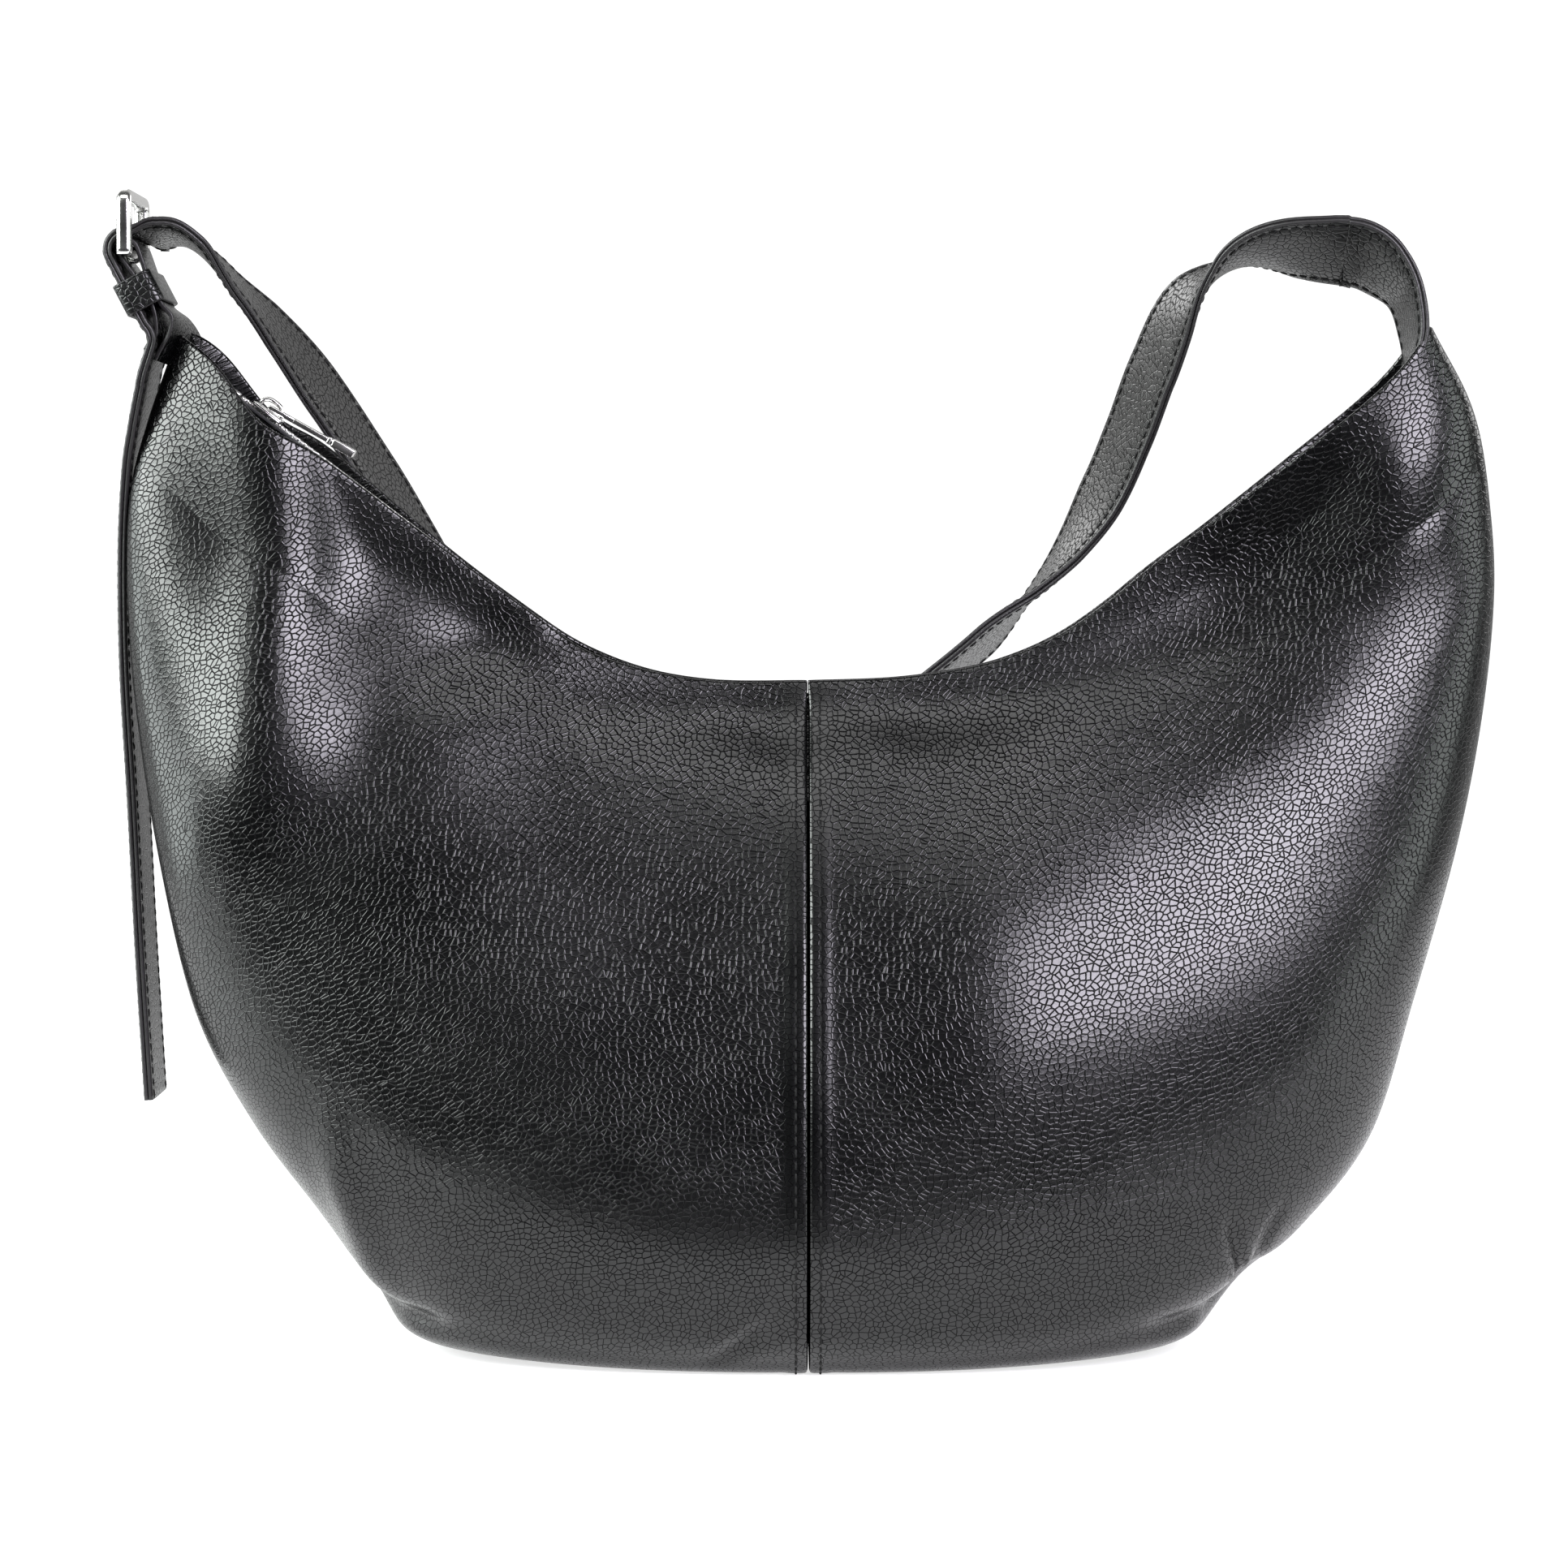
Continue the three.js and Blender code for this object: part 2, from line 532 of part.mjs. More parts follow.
// The strap's buckled end: over the heel bar and down its left side.
function strapEnd() {
  const arc = range(0, 90 + THREE.MathUtils.radToDeg(Math.acos(-OUT.x)), 12);
  const points = [JUNCTION_X - 0.2, -196].map((x) => new THREE.Vector3(x, 0, HEEL.z + CURL));
  for (const degrees of arc) {
    const t = THREE.MathUtils.degToRad(90 + degrees);
    points.push(new THREE.Vector3(HEEL.x + CURL * Math.cos(t), 0, HEEL.z + CURL * Math.sin(t)));
  }
  points.push(beside(8, CURL), beside(TAIL_FROM - 0.3, CURL));
  const wides = points.map((p, i) => new THREE.Vector3(0, 0.97, i === 0 ? -0.2 : 0).normalize());
  const hole = box(
    [HEEL.x - 8, -STRAP_HOLE, HEEL.z + 1.2],
    [HEEL.x + STRAP_HOLE, STRAP_HOLE, HEEL.z + 8],
  );
  return [
    ["strap_end_outer", 1, leather()],
    ["strap_end_inner", -1, edgeLeather()],
  ].map(([name, sign, look]) => {
    const ply = facingOut(band(points, wides, STRAP_WIDTH, PLY, sign * -PLY_OFFSET, [LEFTWARD, DOWN]));
    return mesh(name, cut(ply, hole), look);
  });
}

function plies(part, { points, wides }, ends) {
  const layers = [["outer", -1, leather], ["inner", 1, edgeLeather]];
  return layers.map(([layer, side, look]) => {
    const ply = band(points, wides, STRAP_WIDTH, PLY, side * PLY_OFFSET, ends);
    return mesh(`strap_${part}_${layer}`, facingOut(ply), look());
  });
}

// The tail hangs from the buckle beside the bag's left edge, a little towards its back.
const TAIL_START = beside(TAIL_FROM, CURL);
const TAIL_NEXT = beside(TAIL_FROM + 5, CURL);
const TAIL_STATIONS = [
  [TAIL_START.x, 0, TAIL_START.z, 0, 1, 0],
  [TAIL_NEXT.x, 0.5, TAIL_NEXT.z, 0, 1, 0],
  [-197.5, 3, 293, 0, 1, 0],
  [-201.5, 7, 281, 0, 1, 0],
  [-205, 11, 268, 0, 1, 0],
  [-207, 14, 252, 0, 1, 0],
  [-208, 15, 236, 0, 1, 0],
  [-207.5, 15, 205, 0, 1, 0],
  [-205, 15, 165, 0, 1, 0],
  [-202.5, 15, 120, 0, 1, 0],
  [-199, 15, 74.5, 0, 1, 0],
];

// The strap hangs down behind the bag, from the buckle on the left to the right arch.
const SPAN_STATIONS = [
  [JUNCTION_X + 0.5, 0, HEEL.z + CURL, 0, 0.97, -0.2],
  [-189, 0.5, 335.4, 0, 0.97, -0.2],
  [-184, 2, 333.2, 0, 0.98, -0.15],
  [-178, 6, 328, 0, 1, 0],
  [-171.5, 11, 320.5, 0.06, 1, 0.04],
  [-162, 17, 309.5, 0.17, 0.98, 0.12],
  [-147, 28, 289, 0.28, 0.94, 0.17],
  [-132, 37, 265, 0.28, 0.94, 0.17],
  [-119, 46, 243, 0.25, 0.95, 0.15],
  [-104, 52, 217, 0.2, 0.96, 0.1],
  [-82, 56, 188, 0.1, 0.98, 0],
  [-52, 58, 166, 0.1, 0.98, -0.1],
  [-22, 58, 161, 0.1, 0.98, -0.2],
  [8, 54, 173, 0.15, 0.97, -0.2],
  [34, 49, 194, 0.2, 0.96, -0.2],
  [56, 48, 212, 0.2, 0.96, -0.2],
  [72, 50, 227.6, 0, 1, 0],
  [83, 50, 241, -0.2, 0.97, 0.1],
  [94, 47, 260, -0.36, 0.92, 0.17],
  [101, 42, 277, -0.36, 0.92, 0.17],
  [108, 34, 297, -0.36, 0.92, 0.15],
  [117, 25, 317, -0.3, 0.92, 0.1],
  [130, 17, 327.5, -0.05, 0.99, -0.1],
  [146, 7, 332.5, 0.05, 0.93, -0.35],
  [ROOT_X - 0.3, 1, 332.5, 0.1, 0.87, -0.48],
];
// The root comes down from the arch and ends inside the bag's right tip.
const ROOT_STATIONS = [
  [ROOT_X + 0.2, 1, 332.4, 0.1, 0.87, -0.48],
  [168, 0, 330.5, 0, 0.88, -0.47],
  [174.5, 0, 325, -0.1, 0.92, -0.38],
  [179, 0, 317, -0.15, 0.96, -0.2],
  [179.5, 0, 307, -0.05, 0.99, 0],
  [177.5, 0, 298, 0, 1, 0],
  [177, 0, 290, 0, 1, 0],
];

// ---- assembly ------------------------------------------------------------------------------
const bag = new THREE.Group();
bag.add(...panels(), ...insides(), ...zip());

const sliderGroup = new THREE.Group();
sliderGroup.position.copy(ZIP_START).addScaledVector(ZIP_SLOPE, SLIDER_AT);
sliderGroup.rotation.y = -Math.atan2(ZIP_SLOPE.z, ZIP_SLOPE.x);
const zipPull = pull();
zipPull.position.z = PULL_HEIGHT;
zipPull.rotation.y = -PULL_RISE;
sliderGroup.add(slider(), zipPull);
bag.add(sliderGroup);

bag.add(buckle(), prong(), tab(), keeper(), ...strapEnd());
bag.add(...plies("tail", route(TAIL_STATIONS, 24), [DOWN]));
bag.add(...plies("span", route(SPAN_STATIONS, 84), [RIGHTWARD, RIGHTWARD]));
bag.add(...plies("root", route(ROOT_STATIONS, 14), [RIGHTWARD]));

export default bag;
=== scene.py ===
"""The looks of a black pebbled-leather hobo bag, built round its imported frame.

Lengths in the builders below are millimetres in the frame's own axes, and make() turns them into metres.
"""

import json
import math

import bmesh
import bpy
import numpy as np
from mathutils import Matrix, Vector


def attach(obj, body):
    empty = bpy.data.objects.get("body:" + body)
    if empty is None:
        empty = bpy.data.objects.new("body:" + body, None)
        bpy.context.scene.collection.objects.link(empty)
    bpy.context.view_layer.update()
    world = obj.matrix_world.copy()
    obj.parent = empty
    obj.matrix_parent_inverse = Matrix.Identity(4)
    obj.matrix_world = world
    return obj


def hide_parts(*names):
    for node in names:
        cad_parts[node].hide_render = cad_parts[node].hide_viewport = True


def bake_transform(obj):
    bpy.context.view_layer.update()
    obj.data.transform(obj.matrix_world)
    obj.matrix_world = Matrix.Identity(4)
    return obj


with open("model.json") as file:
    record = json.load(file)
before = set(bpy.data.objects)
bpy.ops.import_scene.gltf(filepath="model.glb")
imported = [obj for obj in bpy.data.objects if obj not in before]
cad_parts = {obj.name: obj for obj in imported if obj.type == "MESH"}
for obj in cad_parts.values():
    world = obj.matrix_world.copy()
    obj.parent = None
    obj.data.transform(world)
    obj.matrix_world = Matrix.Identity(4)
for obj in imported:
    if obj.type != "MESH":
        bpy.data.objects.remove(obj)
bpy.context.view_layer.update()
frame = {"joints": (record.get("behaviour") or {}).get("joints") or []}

MM = 0.001
STRAP_WIDTH = 30.0
STITCH_PITCH = 3.5
STITCH_LENGTH = 2.5
STITCH_RADIUS = 0.36
STITCH_LIFT = 0.12  # the middle of a stitch, above the leather
STITCH_INSET = 2.6  # stitches from the strap's edge
SEAM_X = 1.2
SEAM_STITCH = 3.6  # stitches from the centre seam
TIP_HALF_WIDTH = 20.0
RIM = 1.1  # radius of the turned mouth edge
ACROSS = np.array([0.0, 1.0, 0.0])

joints = {j["name"]: j for j in frame["joints"]}
HEEL = np.array(joints["buckle_tilt"]["pos_m"]) / MM
DOWN = np.array(joints["keeper_slide"]["axis"])
OUT = np.array([DOWN[2], 0.0, -DOWN[0]])
ZIP_SLOPE = np.array(joints["zip_slide"]["axis"])
ZIP_UP = np.array([-ZIP_SLOPE[2], 0.0, ZIP_SLOPE[0]])
PULL_HINGE = np.array(joints["pull_swing"]["pos_m"]) / MM


# ---- camera and studio ----
LIGHT_TARGET = Vector((0, 0, 0.15))


def add_camera():
    """Nearly level with the bag and straight in front of it."""
    data = bpy.data.cameras.new("camera")
    camera = bpy.data.objects.new("camera", data)
    bpy.context.scene.collection.objects.link(camera)
    bpy.context.scene.camera = camera
    distance, pitch, view_width = 1.3, math.radians(3.0), 0.4733
    data.sensor_width = 36.0
    data.lens = data.sensor_width * distance / view_width
    data.clip_start = 0.01
    target = Vector((-0.0059, 0, 0.1705))
    camera.location = target + distance * Vector((0, -math.cos(pitch), math.sin(pitch)))
    camera.rotation_euler = (math.radians(90) - pitch, 0, 0)


def add_light(name, direction, distance, size, radiance, colour=(1, 1, 1)):
    """A softbox that shines on the bag's middle from a direction, as bright as radiance."""
    data = bpy.data.lights.new(name, "AREA")
    data.shape = "RECTANGLE"
    data.size, data.size_y = size
    data.energy = radiance * math.pi * size[0] * size[1]
    data.color = colour
    light = bpy.data.objects.new(name, data)
    bpy.context.scene.collection.objects.link(light)
    away = Vector(direction).normalized()
    light.location = LIGHT_TARGET + away * distance
    light.rotation_euler = away.to_track_quat("Z", "Y").to_euler()


def add_world():
    """White behind the bag and dark in front of it; the camera sees plain white."""
    world = bpy.data.worlds.new("studio")
    bpy.context.scene.world = world
    world.use_nodes = True
    tree = world.node_tree
    tree.nodes.clear()
    out = tree.nodes.new("ShaderNodeOutputWorld")
    lit = tree.nodes.new("ShaderNodeBackground")
    seen = tree.nodes.new("ShaderNodeBackground")
    seen.inputs["Color"].default_value = (1, 1, 1, 1)
    seen.inputs["Strength"].default_value = 1.15
    mix = tree.nodes.new("ShaderNodeMixShader")
    path = tree.nodes.new("ShaderNodeLightPath")
    place = tree.nodes.new("ShaderNodeTexCoord")
    split = tree.nodes.new("ShaderNodeSeparateXYZ")
    ramp = tree.nodes.new("ShaderNodeMapRange")
    ramp.interpolation_type = "SMOOTHSTEP"
    for socket, value in (("From Min", 0.0), ("From Max", 0.6), ("To Min", 0.03), ("To Max", 0.75)):
        ramp.inputs[socket].default_value = value
    tree.links.new(place.outputs["Generated"], split.inputs[0])
    tree.links.new(split.outputs["Y"], ramp.inputs["Value"])
    tree.links.new(ramp.outputs["Result"], lit.inputs["Strength"])
    tree.links.new(path.outputs["Is Camera Ray"], mix.inputs["Fac"])
    tree.links.new(lit.outputs[0], mix.inputs[1])
    tree.links.new(seen.outputs[0], mix.inputs[2])
    tree.links.new(mix.outputs[0], out.inputs["Surface"])


def add_floor():
    """A pale floor that ends just in front of the bag."""
    corners = [(-0.7, -0.27, 0), (0.7, -0.27, 0), (0.7, 0.9, 0), (-0.7, 0.9, 0)]
    mesh = bpy.data.meshes.new("floor")
    mesh.from_pydata(corners, [], [(0, 1, 2, 3)])
    floor = bpy.data.objects.new("floor", mesh)
    floor.location.z = -0.0002
    bpy.context.scene.collection.objects.link(floor)
    look = bpy.data.materials.new("floor_white")
    look.use_nodes = True
    shader = look.node_tree.nodes["Principled BSDF"]
    for socket, value in (
        ("Base Color", (0.55, 0.55, 0.55, 1)),
        ("Roughness", 0.7),
        ("Specular IOR Level", 0.1),
        ("Emission Color", (1, 1, 1, 1)),
        ("Emission Strength", 0.72),
    ):
        shader.inputs[socket].default_value = value
    floor.data.materials.append(look)


add_camera()
add_world()
add_floor()
add_light("key", (0.45, -0.78, 0.42), 1.5, (0.8, 0.72), 18.0, (0.95, 0.905, 1.02))
add_light("left_wall", (-0.82, -0.40, 0.44), 1.4, (0.9, 0.8), 15.5, (0.93, 0.98, 0.95))
add_light("right_wall", (0.95, -0.28, 0.1), 1.5, (0.6, 1.0), 3.4, (0.93, 1.0, 0.97))
add_light("left_edge", (-0.98, 0.05, 0.12), 1.5, (0.7, 1.0), 6.0, (0.93, 1.0, 0.98))
add_light("top_front", (-0.05, -0.48, 0.85), 1.5, (1.2, 0.4), 3.4)
add_light("back_key", (-0.45, 0.72, 0.55), 1.7, (0.8, 0.7), 4.5)
add_light("back_side", (0.8, 0.45, 0.4), 1.6, (0.6, 0.8), 3.0)
bpy.context.scene.view_settings.view_transform = "Standard"


# ---- materials ----
class Tree:
    """Short ways to add and link shader nodes."""

    def __init__(self, name):
        self.material = bpy.data.materials.new(name)
        self.material.use_nodes = True
        self.tree = self.material.node_tree
        self.shader = self.tree.nodes["Principled BSDF"]

    def put(self, socket, value):
        if isinstance(value, bpy.types.NodeSocket):
            self.tree.links.new(value, socket)
        else:
            socket.default_value = value

    def node(self, kind, inputs=(), **settings):
        made = self.tree.nodes.new("ShaderNode" + kind)
        for key, value in settings.items():
            setattr(made, key, value)
        for key, value in dict(inputs).items():
            self.put(made.inputs[key], value)
        return made

    def grain(self):
        return self.node("UVMap", uv_map="grain").outputs["UV"]

    def place(self):
        return self.node("TexCoord").outputs["Object"]

    def attribute(self, name):
        return self.node("Attribute", attribute_name=name).outputs["Fac"]

    def math(self, operation, a, b=0.0):
        return self.node("Math", {0: a, 1: b}, operation=operation).outputs[0]

    def scaled(self, vector, factors):
        return self.node("VectorMath", {0: vector, 1: factors}, operation="MULTIPLY").outputs[0]

    def added(self, a, b):
        return self.node("VectorMath", {0: a, 1: b}, operation="ADD").outputs[0]

    def noise(self, vector, scale, detail=2.0, roughness=0.5):
        inputs = {"Vector": vector, "Scale": scale, "Detail": detail, "Roughness": roughness}
        return self.node("TexNoise", inputs)

    def ranged(self, value, low, high, to_low=0.0, to_high=1.0):
        inputs = {"Value": value, "From Min": low, "From Max": high, "To Min": to_low, "To Max": to_high}
        return self.node("MapRange", inputs, interpolation_type="SMOOTHSTEP").outputs["Result"]

    def mixed(self, factor, a, b):
        made = self.node("Mix", data_type="RGBA")
        self.put(made.inputs["Factor"], factor)
        self.put(made.inputs["A"], a)
        self.put(made.inputs["B"], b)
        return made.outputs["Result"]

    def bump(self, height, depth_mm):
        inputs = {"Height": height, "Distance": depth_mm * MM, "Strength": 1.0}
        return self.node("Bump", inputs).outputs["Normal"]

    def finish(self, **sockets):
        for key, value in sockets.items():
            self.put(self.shader.inputs[key.replace("_", " ")], value)
        return self.material


def leather(name, cell, depth, dark, light, gloss):
    """Pebbled leather, with painted shade in its creases. Its grain follows the UV map, which is in
    millimetres, and fades where smooth is 1.
    """
    t = Tree(name)
    grain = t.grain()
    wander = t.noise(t.scaled(grain, (0.16, 0.16, 0.16)), 1.0, 2.0).outputs["Color"]
    warped = t.added(grain, t.scaled(t.added(wander, (-0.5, -0.5, -0.5)), (1.1, 1.1, 0)))

    def cells(fineness, feature):
        inputs = {"Vector": warped, "Scale": fineness / cell}
        made = t.node("TexVoronoi", inputs, feature=feature, voronoi_dimensions="2D")
        return made.outputs["Distance"]

    pebbles = cells(1, "DISTANCE_TO_EDGE")
    small = cells(2.3, "DISTANCE_TO_EDGE")
    domes = cells(1, "F1")
    top = t.ranged(pebbles, 0.0, 0.15)
    shallows = t.noise(t.scaled(grain, (0.22, 0.3, 0.22)), 1.0, 2.0).outputs["Fac"]
    deep = t.ranged(shallows, 0.3, 0.6, 0.8, 1.0)
    top = t.math("SUBTRACT", 1.0, t.math("MULTIPLY", t.math("SUBTRACT", 1.0, top), deep))
    fine = t.ranged(small, 0.0, 0.3)
    round_top = t.ranged(domes, 0.0, 0.8, 1.0, 0.0)
    calm = t.noise(t.scaled(grain, (0.03, 0.03, 0.03)), 1.0).outputs["Fac"]
    patches = t.ranged(calm, 0.35, 0.65, 0.75, 1.0)
    coarse = t.math("ADD", t.math("MULTIPLY", top, 0.62), t.math("MULTIPLY", round_top, 0.15))
    height = t.math("ADD", coarse, t.math("MULTIPLY", fine, 0.06))
    height = t.math("MULTIPLY", height, patches)
    height = t.math("MULTIPLY", height, t.math("SUBTRACT", 1.0, t.attribute("smooth")))
    pores = t.noise(grain, 2.2, 3.0, 0.6).outputs["Fac"]
    height = t.math("ADD", height, t.math("MULTIPLY", pores, 0.03))
    worn = t.noise(t.scaled(grain, (0.02, 0.02, 0.02)), 1.0, 3.0).outputs["Fac"]
    # Painted shade: the creases take the dark colour and the pebble tops the lighter one.
    colour = t.mixed(t.ranged(top, 0.0, 1.0, 0.0, 0.8), dark, light)
    rough = t.math("ADD", t.ranged(top, 0.0, 1.0, gloss + 0.06, gloss), t.ranged(worn, 0.3, 0.7, -0.03, 0.04))
    # Painted shade as well: the creases reflect less than the pebble tops.
    crease_shaded_specular = t.ranged(top, 0.0, 1.0, 0.08, 0.55)
    bump = t.bump(height, depth)
    return t.finish(Base_Color=colour, Roughness=rough, Specular_IOR_Level=crease_shaded_specular, Normal=bump)


def edge_paint():
    """The paint on cut leather edges."""
    t = Tree("edge_paint")
    bumps = t.noise(t.place(), 900.0, 3.0).outputs["Fac"]
    colour = t.mixed(bumps, (0.004, 0.0038, 0.0042, 1), (0.016, 0.0145, 0.0155, 1))
    return t.finish(Base_Color=colour, Roughness=0.42, Normal=t.bump(bumps, 0.12))


def thread():
    """Dull black thread, twisted."""
    t = Tree("thread")
    inputs = {"Vector": t.place(), "Scale": 420.0, "Distortion": 0.4}
    twist = t.node("TexWave", inputs, bands_direction="DIAGONAL").outputs["Fac"]
    colour = t.mixed(twist, (0.001, 0.001, 0.001, 1), (0.005, 0.005, 0.005, 1))
    bump = t.bump(twist, 0.08)
    return t.finish(Base_Color=colour, Roughness=0.6, Specular_IOR_Level=0.2, Normal=bump)


def woven(name, pitch, dark, light):
    """A plain weave over the UV map in millimetres."""
    t = Tree(name)
    grain = t.grain()
    warp = t.node("TexWave", {"Vector": grain, "Scale": 0.314 / pitch}, bands_direction="X").outputs["Fac"]
    weft = t.node("TexWave", {"Vector": grain, "Scale": 0.314 / pitch}, bands_direction="Y").outputs["Fac"]
    weave = t.math("MULTIPLY", warp, weft)
    colour = t.mixed(weave, dark, light)
    return t.finish(Base_Color=colour, Roughness=0.85, Sheen_Weight=0.15, Normal=t.bump(weave, 0.15))


def nickel():
    """Polished nickel with faint hairlines and smudges."""
    t = Tree("nickel")
    place = t.place()
    hairlines = t.noise(t.scaled(place, (400.0, 2500.0, 400.0)), 1.0, 2.0).outputs["Fac"]
    smudges = t.noise(place, 90.0, 3.0).outputs["Fac"]
    rough = t.math("ADD", t.ranged(smudges, 0.3, 0.7, 0.14, 0.22), t.math("MULTIPLY", hairlines, 0.05))
    colour = t.mixed(smudges, (0.74, 0.735, 0.72, 1), (0.84, 0.835, 0.82, 1))
    return t.finish(Base_Color=colour, Metallic=1.0, Roughness=rough, Normal=t.bump(hairlines, 0.01))


# In each leather, dark is the painted shade in the creases and light the colour of the pebble tops.
LEATHER = leather(
    "leather_pebbled", cell=1.85, depth=0.125, dark=(0.0003, 0.0003, 0.0004, 1),
    light=(0.0006, 0.0007, 0.0008, 1), gloss=0.24
)
STRAP_FACE = leather(
    "leather_strap_face", cell=1.9, depth=0.2, dark=(0.001, 0.0011, 0.0011, 1),
    light=(0.004, 0.0043, 0.0042, 1), gloss=0.28
)
STRAP_BACK = leather(
    "leather_strap_back", cell=2.2, depth=0.3, dark=(0.0015, 0.0014, 0.0013, 1),
    light=(0.006, 0.0055, 0.005, 1), gloss=0.34
)
EDGE = edge_paint()
THREAD = thread()
TAPE = woven("zip_tape_weave", 0.5, (0.006, 0.006, 0.007, 1), (0.02, 0.02, 0.022, 1))
LINING = woven("lining_weave", 0.6, (0.006, 0.006, 0.007, 1), (0.018, 0.018, 0.019, 1))
NICKEL = nickel()


# ---- mesh helpers ----
MERGE = 0.01  # points this near each other become one


def make(name, points, faces, materials, grain=None, smooth=None, parts=None):
    """A mesh object from millimetre points.

    grain is a UV and smooth a value for each point, and parts is a material's number for each face.
    """
    mesh = bpy.data.meshes.new(name)
    mesh.from_pydata((np.asarray(points) * MM).tolist(), [], [tuple(f) for f in faces])
    corners = np.empty(len(mesh.loops), np.int32)
    mesh.loops.foreach_get("vertex_index", corners)
    if grain is not None:
        layer = mesh.uv_layers.new(name="grain")
        layer.data.foreach_set("uv", np.asarray(grain, np.float32)[corners].ravel())
    if smooth is not None:
        attribute = mesh.attributes.new("smooth", "FLOAT", "POINT")
        attribute.data.foreach_set("value", np.asarray(smooth, np.float32).ravel())
    for material in materials:
        mesh.materials.append(material)
    if parts is not None:
        mesh.polygons.foreach_set("material_index", np.asarray(parts, np.int32))
    mesh.polygons.foreach_set("use_smooth", [True] * len(mesh.polygons))
    mesh.update()
    made = bpy.data.objects.new(name, mesh)
    bpy.context.scene.collection.objects.link(made)
    return made


def outward(piece):
    """Joins points that lie together and turns every face of a closed piece outwards."""
    edit = bmesh.new()
    edit.from_mesh(piece.data)
    bmesh.ops.remove_doubles(edit, verts=edit.verts, dist=MERGE * MM)
    bmesh.ops.recalc_face_normals(edit, faces=edit.faces)
    edit.to_mesh(piece.data)
    edit.free()
    return piece


def dress(piece, slot, body, *nodes):
    """Puts a piece on its body, in place of CAD nodes."""
    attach(piece, body)
    if nodes:
        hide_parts(*nodes)
    return piece


def unit(vectors):
    """The same directions with length one."""
    return vectors / np.maximum(np.linalg.norm(vectors, axis=-1, keepdims=True), 1e-9)


def smoothstep(x, low, high):
    """0 below low and 1 above high, with a smooth rise between them."""
    t = np.clip((x - low) / (high - low), 0, 1)
    return t * t * (3 - 2 * t)


def spline(rows, t):
    """Catmull-Rom through evenly numbered rows, at each t."""
    rows = np.asarray(rows, float)
    padded = np.vstack([2 * rows[0] - rows[1], rows, 2 * rows[-1] - rows[-2]])
    k = np.clip(np.floor(t).astype(int), 0, len(rows) - 2)
    f = (t - k)[..., None]
    a, b, c, d = (padded[k + i] for i in range(4))
    return b + 0.5 * f * (c - a + f * (2 * a - 5 * b + 4 * c - d + f * (3 * (b - c) + d - a)))


def route(stations, steps):
    """The same smooth route as the frame's straps: centripetal Catmull-Rom through stations."""
    rows = np.asarray(stations, float)
    padded = np.vstack([2 * rows[0] - rows[1], rows, 2 * rows[-1] - rows[-2]])
    found = []
    for t in np.linspace(0, len(rows) - 1, steps + 1):
        k = min(int(t), len(rows) - 2)
        a, b, c, d = padded[k : k + 4]
        gaps = [max(np.linalg.norm(q - p), 1e-8) ** 0.5 for p, q in ((a, b), (b, c), (c, d))]
        if gaps[1] < 1e-3:  # neighbours that are equal, as the directions in a table often are
            found.append(b)
            continue
        start = ((b - a) / gaps[0] - (c - a) / (gaps[0] + gaps[1]) + (c - b) / gaps[1]) * gaps[1]
        end = ((c - b) / gaps[1] - (d - b) / (gaps[1] + gaps[2]) + (d - c) / gaps[2]) * gaps[1]
        f = t - k
        square = -3 * b + 3 * c - 2 * start - end
        cube = 2 * b - 2 * c + start + end
        found.append(b + start * f + square * f**2 + cube * f**3)
    return np.array(found)


def tangents(points, closed=False):
    """Unit directions along a line of points."""
    if closed:
        return unit(np.roll(points, -1, 0) - np.roll(points, 1, 0))
    return unit(np.gradient(points, axis=0))


def frames(points, wides, closed=False, ends=(None, None)):
    """Along, wide and out directions at each point of a band."""
    along = tangents(points, closed)
    if ends[0] is not None:
        along[0] = ends[0]
    if ends[1] is not None:
        along[-1] = ends[1]
    wide = unit(wides - along * np.sum(wides * along, -1, keepdims=True))
    return along, wide, np.cross(along, wide)


def lengths(points):
    """The distance along a line at each of its points."""
    return np.concatenate([[0], np.cumsum(np.linalg.norm(np.diff(points, axis=0), axis=1))])


def sweep(
    name, points, wides, profile, materials,
    closed=False, ends=(None, None), caps=(True, True), edge=None, smooth=0.0,
):
    """A closed profile of (across, out) pairs swept along a band's route.

    A face takes the last material where its middle lies further across than edge.
    """
    points, profile = np.asarray(points, float), np.asarray(profile, float)
    _, wide, out = frames(points, np.asarray(wides, float), closed, ends)
    m, n = len(points), len(profile)
    grid = points[:, None] + wide[:, None] * profile[None, :, :1] + out[:, None] * profile[None, :, 1:]
    faces, parts = [], []
    for i in range(m if closed else m - 1):
        for j in range(n):
            k = (j + 1) % n
            faces.append((i * n + j, i * n + k, (i + 1) % m * n + k, (i + 1) % m * n + j))
            at_edge = edge is not None and abs(profile[j][0] + profile[k][0]) > 2 * edge
            parts.append(len(materials) - 1 if at_edge else 0)
    for wanted, start in zip(caps, (0, (m - 1) * n)):
        if wanted and not closed:
            faces.append(tuple(start + j for j in range(n)))
            parts.append(len(materials) - 1)
    along = lengths(points)
    around = lengths(np.vstack([profile, profile[:1]]))[:-1]
    grain = np.stack(np.meshgrid(along, around, indexing="ij"), -1).reshape(-1, 2)
    calm = np.full(m * n, smooth)
    return outward(make(name, grid.reshape(-1, 3), faces, materials, grain, calm, parts))


